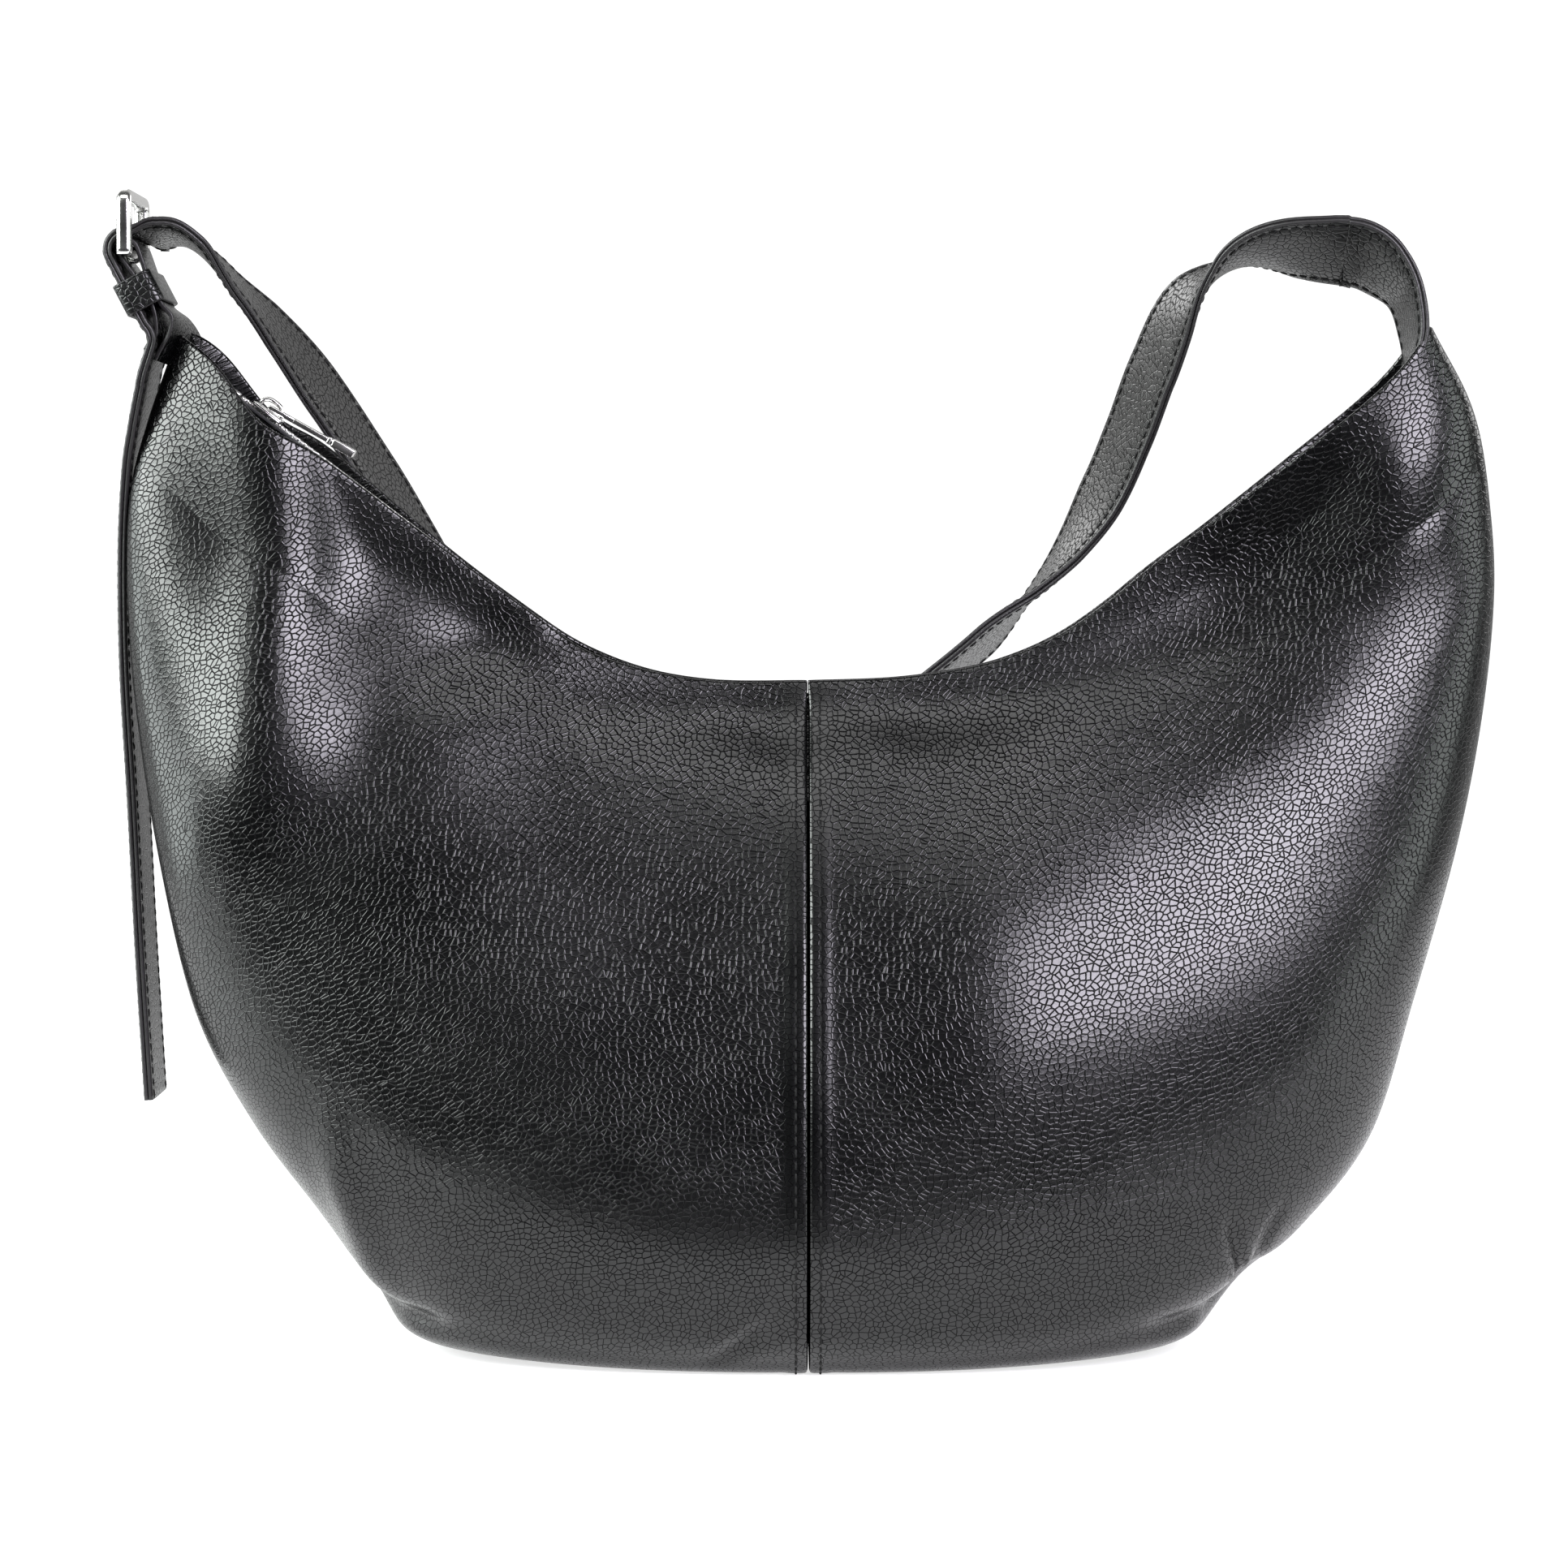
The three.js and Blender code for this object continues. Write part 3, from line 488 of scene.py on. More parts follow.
def rounded(points, radius, sides):
    """A round wire through points, as points and faces."""
    points = np.asarray(points, float)
    along = tangents(points)
    side = unit(np.cross(along, [0.013, 1.0, 0.021]))
    other = np.cross(along, side)
    angles = np.linspace(0, 2 * np.pi, sides, endpoint=False)
    radii = np.broadcast_to(radius, len(points))[:, None, None]
    ring = side[:, None] * np.cos(angles)[None, :, None] + other[:, None] * np.sin(angles)[None, :, None]
    grid = points[:, None] + radii * ring
    faces = [
        (i * sides + j, i * sides + (j + 1) % sides, (i + 1) * sides + (j + 1) % sides, (i + 1) * sides + j)
        for i in range(len(points) - 1)
        for j in range(sides)
    ]
    faces += [tuple(range(sides)), tuple((len(points) - 1) * sides + j for j in range(sides))]
    return grid.reshape(-1, 3), faces


def block(low, high, bevel, segments=3):
    """A box with rounded edges, as points and faces."""
    edit = bmesh.new()
    bmesh.ops.create_cube(edit, size=1)
    low, high = np.array(low, float), np.array(high, float)
    for v in edit.verts:
        v.co = Vector(low + (np.array(v.co) + 0.5) * (high - low))
    bmesh.ops.bevel(edit, geom=list(edit.edges), offset=bevel, segments=segments, profile=0.5, affect="EDGES")
    edit.verts.index_update()
    points = np.array([v.co for v in edit.verts])
    faces = [tuple(v.index for v in f.verts) for f in edit.faces]
    edit.free()
    return points, faces


def joined(shapes):
    """Several (points, faces) as one."""
    points, faces, start = [], [], 0
    for p, f in shapes:
        points.append(p)
        faces += [tuple(i + start for i in face) for face in f]
        start += len(p)
    return np.vstack(points), faces


def placed(shape, origin, x_axis, y_axis, z_axis):
    """A shape moved from its own axes to an origin and three directions."""
    points, faces = shape
    basis = np.array([x_axis, y_axis, z_axis], float)
    return points @ basis + np.asarray(origin, float), faces


def stitches(name, points, outs):
    """A row of thread stitches along a line, whose ends dip into the leather."""
    at = lengths(points)
    count = int(at[-1] / STITCH_PITCH)
    radii = STITCH_RADIUS * np.array([0.5, 0.85, 1, 1, 0.85, 0.5])
    shapes = []
    for middle in (np.arange(count) + 0.5) * at[-1] / count:
        t = middle + np.array([-0.5, -0.42, -0.2, 0.2, 0.42, 0.5]) * STITCH_LENGTH
        rise = np.array([-0.45, -0.05, 1.0, 1.0, -0.05, -0.45]) * STITCH_LIFT
        line = np.stack([np.interp(t, at, points[:, i]) for i in range(3)], -1)
        out = unit(np.stack([np.interp(t, at, outs[:, i]) for i in range(3)], -1))
        shapes.append(rounded(line + out * rise[:, None], radii, 6))
    return make(name, *joined(shapes), [THREAD])


# ---- the bag's surface ----
# Rings from the mouth to the base: reach and height at the side, half depth and height at the
# centre seam, and the exponent of the plan curve.
SEAM_RINGS = [
    (9, 201), (14, 190), (25, 172), (38, 146), (50, 118), (59, 88), (64, 60), (65, 36), (61, 16), (54, 5),
    (46, 0), (26, 0), (0, 0),
]
ROUND = {
    "left": [3.0, 2.7, 2.5, 2.3, 2.15, 2.1, 2.1, 2.1, 2.2, 2.4, 2.5, 2.5, 2.5],
    "right": [7.0, 4.5, 2.8, 2.4, 2.15, 2.1, 2.1, 2.1, 2.2, 2.4, 2.5, 2.5, 2.5],
}
SIDE_RINGS = {
    "left": [
        (188, 305), (196.5, 281), (202, 258), (203, 228), (201, 192), (195, 150), (184, 103), (167, 70),
        (148, 44), (131, 21), (120, 6), (98, 0), (80, 0),
    ],
    "right": [
        (187.5, 307), (199.5, 284), (205.5, 257), (207.5, 228), (204.5, 192), (197, 152), (184.5, 106),
        (172, 66), (153, 40), (133, 21.5), (119, 6), (100, 0), (82, 0),
    ],
}
RINGS = {
    side: [(*at_side, *at_seam, power) for at_side, at_seam, power in zip(rings, SEAM_RINGS, ROUND[side])]
    for side, rings in SIDE_RINGS.items()
}
# The mouth's edge, as reach and height from the tip to the seam.
MOUTH = {
    "left": [
        (188, 305), (176, 296), (160.7, 277.5), (146, 269), (116, 246.5), (82, 221.5), (66, 210.3),
        (49, 204.6), (29, 201.3), (0, 201),
    ],
    "right": [
        (187.5, 307), (178, 294.5), (167, 284), (146, 267.5), (120, 247.5), (103, 235), (90, 224.5),
        (75, 214.5), (57.6, 207.2), (43, 204), (27, 202), (0, 201),
    ],
}
BACK_LIFT = 3.5  # the back edge of the mouth stands this much higher beside the slider
SIGN = {"left": -1, "right": 1}
LAST = len(SEAM_RINGS) - 1


def mouth_height(side, reach):
    """Height of the mouth's edge at a distance from the centre."""
    table = route([(x, 0, z) for x, z in MOUTH[side]], 160)[::-1]
    return np.interp(reach, table[:, 0], table[:, 2])


def surface(side, v, angle):
    """Points at ring v and angle, from 0 at the front seam to pi at the back seam."""
    v, angle = np.broadcast_arrays(v, angle)
    reach, side_z, depth, seam_z, power = np.moveaxis(spline(RINGS[side], v), -1, 0)
    s, c = np.maximum(np.sin(angle), 0), np.cos(angle)
    scale = (s**power + np.abs(c) ** power) ** (-1 / power)
    share = s * scale
    wide = depth + np.maximum(TIP_HALF_WIDTH - depth, 0) * smoothstep(share, 0.6, 0.9)
    top = RINGS[side][0]
    mouth_rise = (mouth_height(side, share * top[0]) - top[3]) / (top[1] - top[3])
    fade = np.clip(v / 4, 0, 1)
    rise = (1 - fade) * mouth_rise + fade * share**2.6
    if side == "left":
        lift = BACK_LIFT / (top[1] - top[3]) * (1 - fade)
        rise = rise + lift * smoothstep(share, 0.5, 0.8) * smoothstep(-c, 0.02, 0.5)
    x = SEAM_X + share * (SIGN[side] * reach - SEAM_X)
    z = np.maximum(seam_z + (side_z - seam_z) * rise, 0)
    return np.stack([x, -wide * c * scale, z], -1)


# Folds: height (negative for a valley), half width, and the line of (x, z) that each follows.
FRONT_FOLDS = [
    (6.5, 20.0, [(-171, 306), (-158, 272), (-153, 238), (-155, 208), (-166, 170), (-184, 126)]),
    (-3.0, 13.5, [(-148, 302), (-140, 266), (-137, 240), (-140, 220), (-148, 203), (-158, 188)]),
    (-1.0, 22.0, [(-126, 284), (-118, 246), (-124, 204)]),
    (-1.0, 12.0, [(-126, 226), (-132, 198), (-122, 162)]),
    (0.7, 20.0, [(-132, 224), (-119, 190), (-100, 156)]),
    (-1.7, 13.0, [(-66, 242), (-97, 215), (-126, 192)]),
    (0.9, 16.0, [(-124, 178), (-84, 200), (-40, 206)]),
    (-0.6, 8.0, [(-28, 206), (-14, 192), (-4, 174)]),
    (0.7, 11.0, [(2, 206), (18, 188), (34, 164)]),
    (5.0, 18.0, [(186, 280), (180, 250), (184, 225)]),
    (8.0, 42.0, [(52, 176), (56, 120), (70, 60)]),
    (-4.0, 22.0, [(150, 290), (146, 250), (130, 220), (96, 200)]),
    (3.0, 6.0, [(-122, 10), (-131, 40), (-142, 76)]),
    (-4.0, 4.0, [(-138, 28), (-124, 14), (-104, 10)]),
    (-4.0, 4.0, [(142, 30), (128, 16), (116, 11), (100, 11)]),
    (-1.8, 2.0, [(133, 18), (128, 32), (124, 48)]),
    (-1.4, 2.0, [(133, 18), (136, 34), (142, 50)]),
    (-2.6, 3.0, [(-32, 0), (-20, 9), (-8, 20)]),
]
BACK_FOLDS = [
    (-6.0, 9.0, [(150, 276), (146, 250), (152, 220), (162, 196)]),
    (5.0, 13.0, [(182, 290), (172, 262), (170, 230)]),
    (-5.0, 10.0, [(-146, 272), (-150, 244), (-162, 216)]),
    (4.0, 13.0, [(-182, 286), (-176, 252), (-180, 220)]),
    (-4.0, 9.0, [(80, 226), (98, 208), (118, 198)]),
    (4.0, 10.0, [(-96, 198), (-74, 206), (-52, 206)]),
    (-3.5, 4.0, [(133, 22), (124, 15), (112, 11)]),
    (-3.5, 4.0, [(-138, 26), (-128, 17), (-116, 11)]),
    (5.0, 38.0, [(-120, 110), (-60, 96)]),
    (4.0, 36.0, [(60, 90), (130, 120)]),
]
# Distance from the centre seam, and height of the leather there.
SEAM_RELIEF = np.array([
    (0.0, -3.2), (0.12, -3.0), (0.2, -1.2), (0.35, -0.5), (0.6, -0.14), (1.0, 0.06), (1.6, 0.14), (2.8, 0.18),
    (3.6, 0.12), (4.4, 0.18), (5.4, 0.14), (7.0, -0.04), (8.5, -0.06), (11, 0),
])


def folds(x, z, table):
    """Soft ridges and valleys: each line is a string of round bumps that overlap, fading at its ends."""
    height = np.zeros(x.shape)
    for amount, width, line in table:
        curve = route([(a, 0, b) for a, b in line], 60)
        at = lengths(curve)
        marks = np.linspace(0, at[-1], int(at[-1] / (0.5 * width)) + 2)
        share = marks / at[-1]
        taper = smoothstep(share, -0.05, 0.3) * smoothstep(1 - share, -0.05, 0.3)
        strength = amount * taper * marks[1] / (math.sqrt(math.pi) * width)
        for mark, part in zip(marks, strength):
            px, pz = np.interp(mark, at, curve[:, 0]), np.interp(mark, at, curve[:, 2])
            height += part * np.exp(-((x - px) ** 2 + (z - pz) ** 2) / width**2)
    return height


def relief(base, angle):
    """How far the slack leather stands out of the plain surface, in millimetres."""
    x, y, z = np.moveaxis(base, -1, 0)
    front = smoothstep(np.cos(angle), 0.02, 0.3)
    back = smoothstep(-np.cos(angle), 0.02, 0.3)
    height = front * folds(x, z, FRONT_FOLDS) + back * folds(x, z, BACK_FOLDS)
    sway = np.sin(x / 37 + 1.3) * np.sin(z / 31 + 0.4) + 0.3 * np.sin(x / 17 + z / 23 + 2.0)
    height += (front + back) * 1.6 * np.exp(-np.abs(x - SEAM_X) / 40) * smoothstep(210 - z, 0, 60)
    height += 0.5 * sway * smoothstep(np.abs(x - SEAM_X), 6, 40)
    return height * smoothstep(z, 1, 14)


def seam_relief(x):
    """Height of the leather over the turned seam allowance at x."""
    return np.interp(np.abs(x - SEAM_X), SEAM_RELIEF[:, 0], SEAM_RELIEF[:, 1])


def grid_normals(points, side):
    """Outward normals of a grid with its rows round the bag, from the mouth down."""
    down = np.gradient(points, axis=0)
    sideways = np.gradient(points, axis=1)
    return unit(np.cross(down, sideways) * SIGN[side])


def skin(side, v, angle, depth=0.0, with_seam=False):
    """Points of the slack leather at some depth under it, with the plain surface's normals."""
    base = surface(side, v[:, None], angle)
    normals = grid_normals(base, side)
    flat = smoothstep(v, LAST - 2.4, LAST - 1.9)[:, None, None]
    normals = unit(normals * (1 - flat) + flat * np.array([0, 0, -1.0]))
    height = relief(base, angle)
    height = np.where(height < 0, height * smoothstep(v, -0.2, 0.8)[:, None], height) - depth
    if with_seam:
        height = height + seam_relief(base[..., 0]) * (0.2 + 0.8 * smoothstep(v, 0.0, 0.9))[:, None]
    points = base + normals * height[..., None]
    points[..., 2] = np.maximum(points[..., 2], 0.0 if depth == 0 else depth)
    return points, normals, base


def columns(side, v, near, coarse):
    """Angles for each row: fixed distances from the seam first, then even steps to the side and back."""
    reach = spline(RINGS[side], v)[:, 0][:, None]
    first = np.arctan2(np.array(near)[None, :], reach)
    steps = np.linspace(0, 1, coarse + 1)[None, 1:]
    quarter = np.concatenate([first, first[:, -1:] + (np.pi / 2 - first[:, -1:]) * steps], 1)
    return np.concatenate([quarter, np.pi - quarter[:, -2::-1]], 1)


NEAR_SEAM = [
    0.12, 0.2, 0.35, 0.6, 1.0, 1.6, 2.2, 2.8, 3.3, 3.6, 3.9, 4.4, 5.0, 5.6, 6.2, 7.0, 8.5, 10.5, 13.0,
]


def grid_faces(rows, cols, flip):
    """The quads of a grid of points."""
    faces = []
    for i in range(rows - 1):
        for j in range(cols - 1):
            a = i * cols + j
            face = (a, a + cols, a + cols + 1, a + 1)
            faces.append(face[::-1] if flip else face)
    return faces


def grain_map(side, points):
    """Millimetre UVs: the distance round the bag, and the height, leaning a little towards the sides."""
    x, y, z = points[..., 0], points[..., 1], points[..., 2]
    steps = np.hypot(np.diff(x, axis=1, prepend=x[:, :1]), np.diff(y, axis=1, prepend=y[:, :1]))
    u = np.cumsum(steps, 1)
    under = smoothstep(8 - z, 0, 8) * (60 - np.abs(y))
    v = -1.15 * z + 0.001 * x * np.abs(x) + under
    return np.stack([SIGN[side] * 0.95 * u + 400 * SIGN[side], v], -1)


def smooth_mask(points):
    """Where the grain is pulled flat: along the centre seam and towards the base."""
    x, z = points[..., 0], points[..., 2]
    seam = 1 - smoothstep(np.abs(x - SEAM_X), 5.5, 8.5)
    foot = 1 - smoothstep(z, 14, 62)
    return np.clip(np.maximum(0.72 * seam, 0.6 * foot), 0, 1)


def add_half(side):
    """One leather half: over the outside, round the mouth's turned edge, and a little way in."""
    near_mouth, middle, near_base = np.linspace(0, 2, 60), np.linspace(2, 8, 120), np.linspace(8, LAST, 70)
    v = np.concatenate([near_mouth, middle[1:], near_base[1:]])
    angle = columns(side, v, NEAR_SEAM, 120)
    outer, normals, base = skin(side, v, angle, with_seam=True)
    edge, out = outer[0], normals[0]
    up = unit(outer[0] - outer[1])
    turn = np.radians(np.linspace(165, 15, 7))[:, None, None]
    rim = edge - out * RIM + RIM * (out * np.cos(turn) + up * np.sin(turn))
    turned_in = slice(5, 30, 6)
    inside = (outer[turned_in] - normals[turned_in] * 2 * RIM)[::-1]
    points = np.concatenate([inside, (edge - out * 2 * RIM)[None], rim, outer])
    grain = grain_map(side, points)
    faces = grid_faces(*points.shape[:2], side == "right")
    calm = smooth_mask(points).ravel()
    half = make(f"{side}_leather", points.reshape(-1, 3), faces, [LEATHER], grain.reshape(-1, 2), calm)
    edit = bmesh.new()
    edit.from_mesh(half.data)
    base_points = [w for w in edit.verts if w.co.z < 3 * MM]
    bmesh.ops.remove_doubles(edit, verts=base_points, dist=MERGE * MM)
    edit.to_mesh(half.data)
    edit.free()
    return dress(half, "leather", "bag", f"{side}_panel")


def seam_stitches(side):
    """Topstitching beside the centre seam, front and back."""
    for name, at_back in (("front", False), ("back", True)):
        v = np.linspace(0.02, LAST - 0.02, 500)
        reach = spline(RINGS[side], v)[:, 0]
        angle = np.arctan2(SEAM_STITCH, reach)
        angle = np.pi - angle if at_back else angle
        pair = np.stack([angle, angle + 0.002], 1)
        points, normals, _ = skin(side, v, pair, with_seam=True)
        row = stitches(f"seam_stitches_{side}_{name}", points[:, 0], normals[:, 0])
        dress(row, "leather", "bag")


def add_inner(name, look, slot, pieces, v, depth, thick, nodes):
    """A sheet under the leather: pieces are (side, angles) runs laid end to end."""
    shells = []
    for extra in (depth, depth + thick):
        runs = []
        for side, angles in pieces:
            run = skin(side, v, np.broadcast_to(np.sort(angles), (len(v), len(angles))), extra)[0]
            runs.append(run if angles[0] < angles[-1] else run[:, ::-1])
        shells.append(np.concatenate(runs, 1))
    rows, cols = shells[0].shape[:2]
    points = np.concatenate([shells[0].reshape(-1, 3), shells[1].reshape(-1, 3)])
    faces = grid_faces(rows, cols, False)
    faces += [tuple(i + rows * cols for i in f[::-1]) for f in faces]
    first_column = [i * cols for i in range(rows - 1, 0, -1)]
    last_column = [i * cols + cols - 1 for i in range(1, rows)]
    rim = [*first_column, *range(cols), *last_column]
    faces += [(a, b, b + rows * cols, a + rows * cols) for a, b in zip(rim, rim[1:])]
    along, down = lengths(shells[0][0]), lengths(shells[0][:, 0])
    grain = np.tile(np.stack(np.meshgrid(along, down, indexing="xy"), -1).reshape(-1, 2), (2, 1))
    piece = outward(make(name, points, faces, [look], grain, np.full(len(points), 0.3)))
    return dress(piece, slot, "bag", *nodes)


def add_insides():
    """The two leather facings under the mouth's edge and the lining bag below them."""
    quarter = np.radians(np.linspace(0.5, 38, 60))
    rows = np.linspace(0.35, 2.2, 24)
    for name, turned in (("front", False), ("back", True)):
        runs = [("left", quarter[::-1]), ("right", quarter)]
        if turned:
            runs = [(side, np.pi - a) for side, a in runs]
        add_inner(f"facing_{name}", LEATHER, "leather", runs, rows, 3.0, 1.2, [f"mouth_facing_{name}"])
    whole = np.radians(np.linspace(0.2, 179.8, 120))
    runs = [("right", whole), ("left", whole[::-1])]
    add_inner("lining_bag", LINING, "lining", runs, np.linspace(2.3, LAST, 60), 3.0, 0.8, ["lining"])


for half_side in ("left", "right"):
    add_half(half_side)
    seam_stitches(half_side)
add_insides()


# ---- zip ----
ZIP_START = np.array([-169, 0, 286.3])
ZIP_STRAIGHT = 127.0
ZIP_CURVE = [
    (-50, 202), (-28, 198.3), (0, 197.8), (28, 198.6), (58, 203.4), (75, 210.2), (103, 231.5), (120, 244),
    (144, 262.5),
]
TOOTH_PITCH = 2.4
TAPE_PROFILE = [(1.5, -0.3), (7.6, -0.5), (7.6, 0.1), (2.2, 0.3), (1.5, 0.3)]


def zip_line():
    """The chain's middle: straight down from the left tip, then round the mouth's curve."""
    straight = ZIP_START + ZIP_SLOPE * np.linspace(0, ZIP_STRAIGHT, 90)[:, None]
    bend = route([straight[-1], *[(x, 0, z) for x, z in ZIP_CURVE]], 180)
    return np.vstack([straight, bend[1:]])


def add_zip():
    """Two tapes, their interlocked teeth and the two stops."""
    line = zip_line()
    at = lengths(line)
    wides = np.tile(ACROSS, (len(line), 1))
    for name, sign in (("front", -1), ("back", 1)):
        tape = sweep(f"tape_{name}", line, wides, [(sign * y, t) for y, t in TAPE_PROFILE], [TAPE])
        dress(tape, "zip_tape", "bag", f"zip_tape_{name}")
        teeth = []
        offset = 0.0 if sign < 0 else 0.5
        for k in range(int(at[-1] / TOOTH_PITCH)):
            s = (k + 0.25 + offset) * TOOTH_PITCH
            middle = np.array([np.interp(s, at, line[:, i]) for i in range(3)])
            along = unit(np.array([np.interp(s + 0.5, at, line[:, i]) for i in range(3)]) - middle)
            up = np.cross(along, ACROSS)
            head = block((-0.62, -0.5, -1.15), (0.62, 1.0, 1.15), 0.3, 2)
            neck = block((-0.5, 0.6, -1.0), (0.5, 2.6, 1.0), 0.28, 2)
            teeth.append(placed(joined([head, neck]), middle, along, sign * ACROSS, up))
        row = make(f"teeth_{name}", *joined(teeth), [NICKEL])
        dress(row, "nickel", "bag", f"zip_teeth_{name}")
    ends = (("top", line[0], -ZIP_SLOPE), ("bottom", line[-1], unit(line[-1] - line[-2])))
    for name, at_end, away in ends:
        bar = block((0.6, -2.4, -1.3), (3.4, 2.4, 1.3), 0.5)
        stop = placed(bar, at_end, away, ACROSS, np.cross(away, ACROSS))
        dress(make(f"{name}_stop", *stop, [NICKEL]), "nickel", "bag", f"zip_{name}_stop")


def add_slider():
    """Two plates joined by a post, with the arch that holds the pull."""
    origin = PULL_HINGE - ZIP_UP * 3.3
    top = block((-5, -4.6, 1.45), (5, 4.6, 2.25), 0.35)
    bottom = block((-5, -4.6, -2.25), (5, 4.6, -1.45), 0.35)
    post = block((-4.6, -0.45, -1.8), (-1.6, 0.45, 1.8), 0.1, 1)
    left_leg = [(-3.7, 0, 1.9), (-3.5, 0, 3.9), (-2.1, 0, 5.15)]
    arch = route([*left_leg, *[(-x, y, z) for x, y, z in left_leg[::-1]]], 30)
    flanks = [block((-4.8, y - 0.35, 1.0), (4.8, y + 0.35, 1.7), 0.25) for y in (-4.2, 4.2)]
    shape = joined([top, bottom, post, rounded(arch, 0.72, 12), *flanks])
    slider = make("slider", *placed(shape, origin, ZIP_SLOPE, ACROSS, ZIP_UP), [NICKEL])
    dress(slider, "nickel", "slider", "zip_slider")


def add_pull():
    """A flat bar with a slot at the slider's end and a thicker cap at the free end."""
    rise = math.radians(8)
    along = ZIP_SLOPE * math.cos(rise) + ZIP_UP * math.sin(rise)
    up = np.cross(along, ACROSS)
    arms = [block((-0.8, y - 0.75, -0.75), (8, y + 0.75, 0.75), 0.35) for y in (-2.15, 2.15)]
    pin = rounded([(0, -2.4, 0), (0, 0, 0), (0, 2.4, 0)], 0.72, 12)
    bar = block((6.4, -2.7, -0.78), (26.5, 2.7, 0.78), 0.4)
    cap = block((20.8, -2.75, -1.35), (28.5, 2.75, 1.35), 0.6, 4)
    band = block((19.4, -2.85, -1.1), (20.5, 2.85, 1.1), 0.3)
    shape = joined([*arms, pin, bar, cap, band])
    pull = make("pull", *placed(shape, PULL_HINGE, along, ACROSS, up), [NICKEL])
    dress(pull, "nickel", "pull", "zip_pull")


add_zip()
add_slider()
add_pull()


# ---- buckle, tab and keeper ----
CURL = 5.6  # radius of the strap's turn round the heel bar
TAIL_FROM = 20.6  # where the tail starts, down from the heel bar
TAB_HALF_WIDTH = 12.4
TAB_HALF_THICK = 0.68


def beside(down, out):
    """A point beside the line that runs down from the heel bar."""
    return HEEL + DOWN * down + OUT * out


def pill(half_width, half_thick, bevel, steps=3):
    """A rectangle with rounded corners, as a closed profile."""
    corners = [(1, 1, 0), (-1, 1, 90), (-1, -1, 180), (1, -1, 270)]
    profile = []
    for sx, sy, start in corners:
        for k in range(steps + 1):
            t = math.radians(start + 90 * k / steps)
            across = sx * (half_width - bevel) + bevel * math.cos(t)
            profile.append((across, sy * (half_thick - bevel) + bevel * math.sin(t)))
    return profile


def add_buckle():
    """The frame's two sides and top in one bent bar, and the heel bar between their feet."""
    path = []
    for cy, cz, start in ((15.2, 13.2, 0), (-15.2, 13.2, 90)):
        for k in range(9):
            t = math.radians(start + 90 * k / 8)
            path.append((0, cy + 2.8 * math.cos(t), cz + 2.8 * math.sin(t)))
    path = [(0, 18, -1.6), (0, 18, 0), (0, 18, 6), *path, (0, -18, 6), (0, -18, 0), (0, -18, -1.6)]
    path = np.array(path, float)
    wides = np.tile([1.0, 0, 0], (len(path), 1))
    sides = sweep("buckle", path + HEEL, wides, pill(2.3, 1.75, 1.6, 6), [NICKEL])
    axis = HEEL + np.array([(0, -17, 0), (0, 0, 0), (0, 17, 0)])
    bar = make("heel_bar", *rounded(axis, 1.75, 24), [NICKEL])
    dress(sides, "nickel", "buckle", "buckle_frame")
    dress(bar, "nickel", "buckle")


def add_prong():
    """The prong leans from the heel bar, which its eye wraps."""
    lean = math.radians(14.5)
    along = np.array([-math.sin(lean), 0, math.cos(lean)])
    ring = [HEEL + 2.65 * np.array([math.cos(t), 0, math.sin(t)]) for t in np.linspace(0, 2 * np.pi, 25)]
    eye = sweep("prong_eye", ring[:-1], np.tile(ACROSS, (24, 1)), pill(1.5, 0.6, 0.35), [NICKEL], closed=True)
    stations = [HEEL + along * s for s in (2.6, 6, 10, 14, 16.5, 17.6)]
    tongue = make("prong", *rounded(stations, np.array([1.3, 1.25, 1.15, 1.05, 0.9, 0.4]), 14), [NICKEL])
    dress(tongue, "nickel", "prong", "buckle_prong")
    dress(eye, "nickel", "prong")


def tab_line():
    """Up from inside the tip, round the heel bar and down to the outside of the tip."""
    tip, below = (np.array([-r[0], 0, r[1]], float) for r in SIDE_RINGS["left"][:2])
    wall = unit(below - tip)
    away = np.array([wall[2], 0, -wall[0]])
    turn = np.radians(np.linspace(-10, 190, 13))
    curl = [HEEL - OUT * 2.95 * math.cos(t) - DOWN * 2.95 * math.sin(t) for t in turn]
    inner = [tip + wall * d - away * 2.4 for d in (9, 1)]
    outer = [tip + wall * d + away * o for d, o in ((1.5, 1.6), (7, 1.5))]
    return [
        *inner, beside(24, -3.0), beside(19, -1.5), beside(12, -1.2), beside(6, -2.1), *curl,
        beside(6, 2.1), beside(12, 1.2), beside(20, 1.2), beside(26, 1.6), *outer,
    ]


def add_tab():
    """The folded tab that holds the buckle, with its stitches."""
    points = route(tab_line(), 150)
    wides = np.tile(ACROSS, (len(points), 1))
    wides[:, 0] = 0.45 * smoothstep(-points[:, 2], -315, -297)
    profile = pill(TAB_HALF_WIDTH, TAB_HALF_THICK, 0.35)
    tab = sweep("tab", points, wides, profile, [LEATHER, EDGE], edge=12.1)
    dress(tab, "leather", "bag", "buckle_tab")
    at = lengths(points)
    leg = at > at[-1] - 23
    _, _, out = frames(points, wides)
    for k, side in enumerate((-1, 1)):
        for face, sign in (("outer", 1), ("inner", -1)):
            line = points[leg] + ACROSS * side * 9.9 + out[leg] * sign * TAB_HALF_THICK
            row = stitches(f"tab_stitches_{face}_{k}", line, out[leg] * sign)
            dress(row, "leather", "bag")


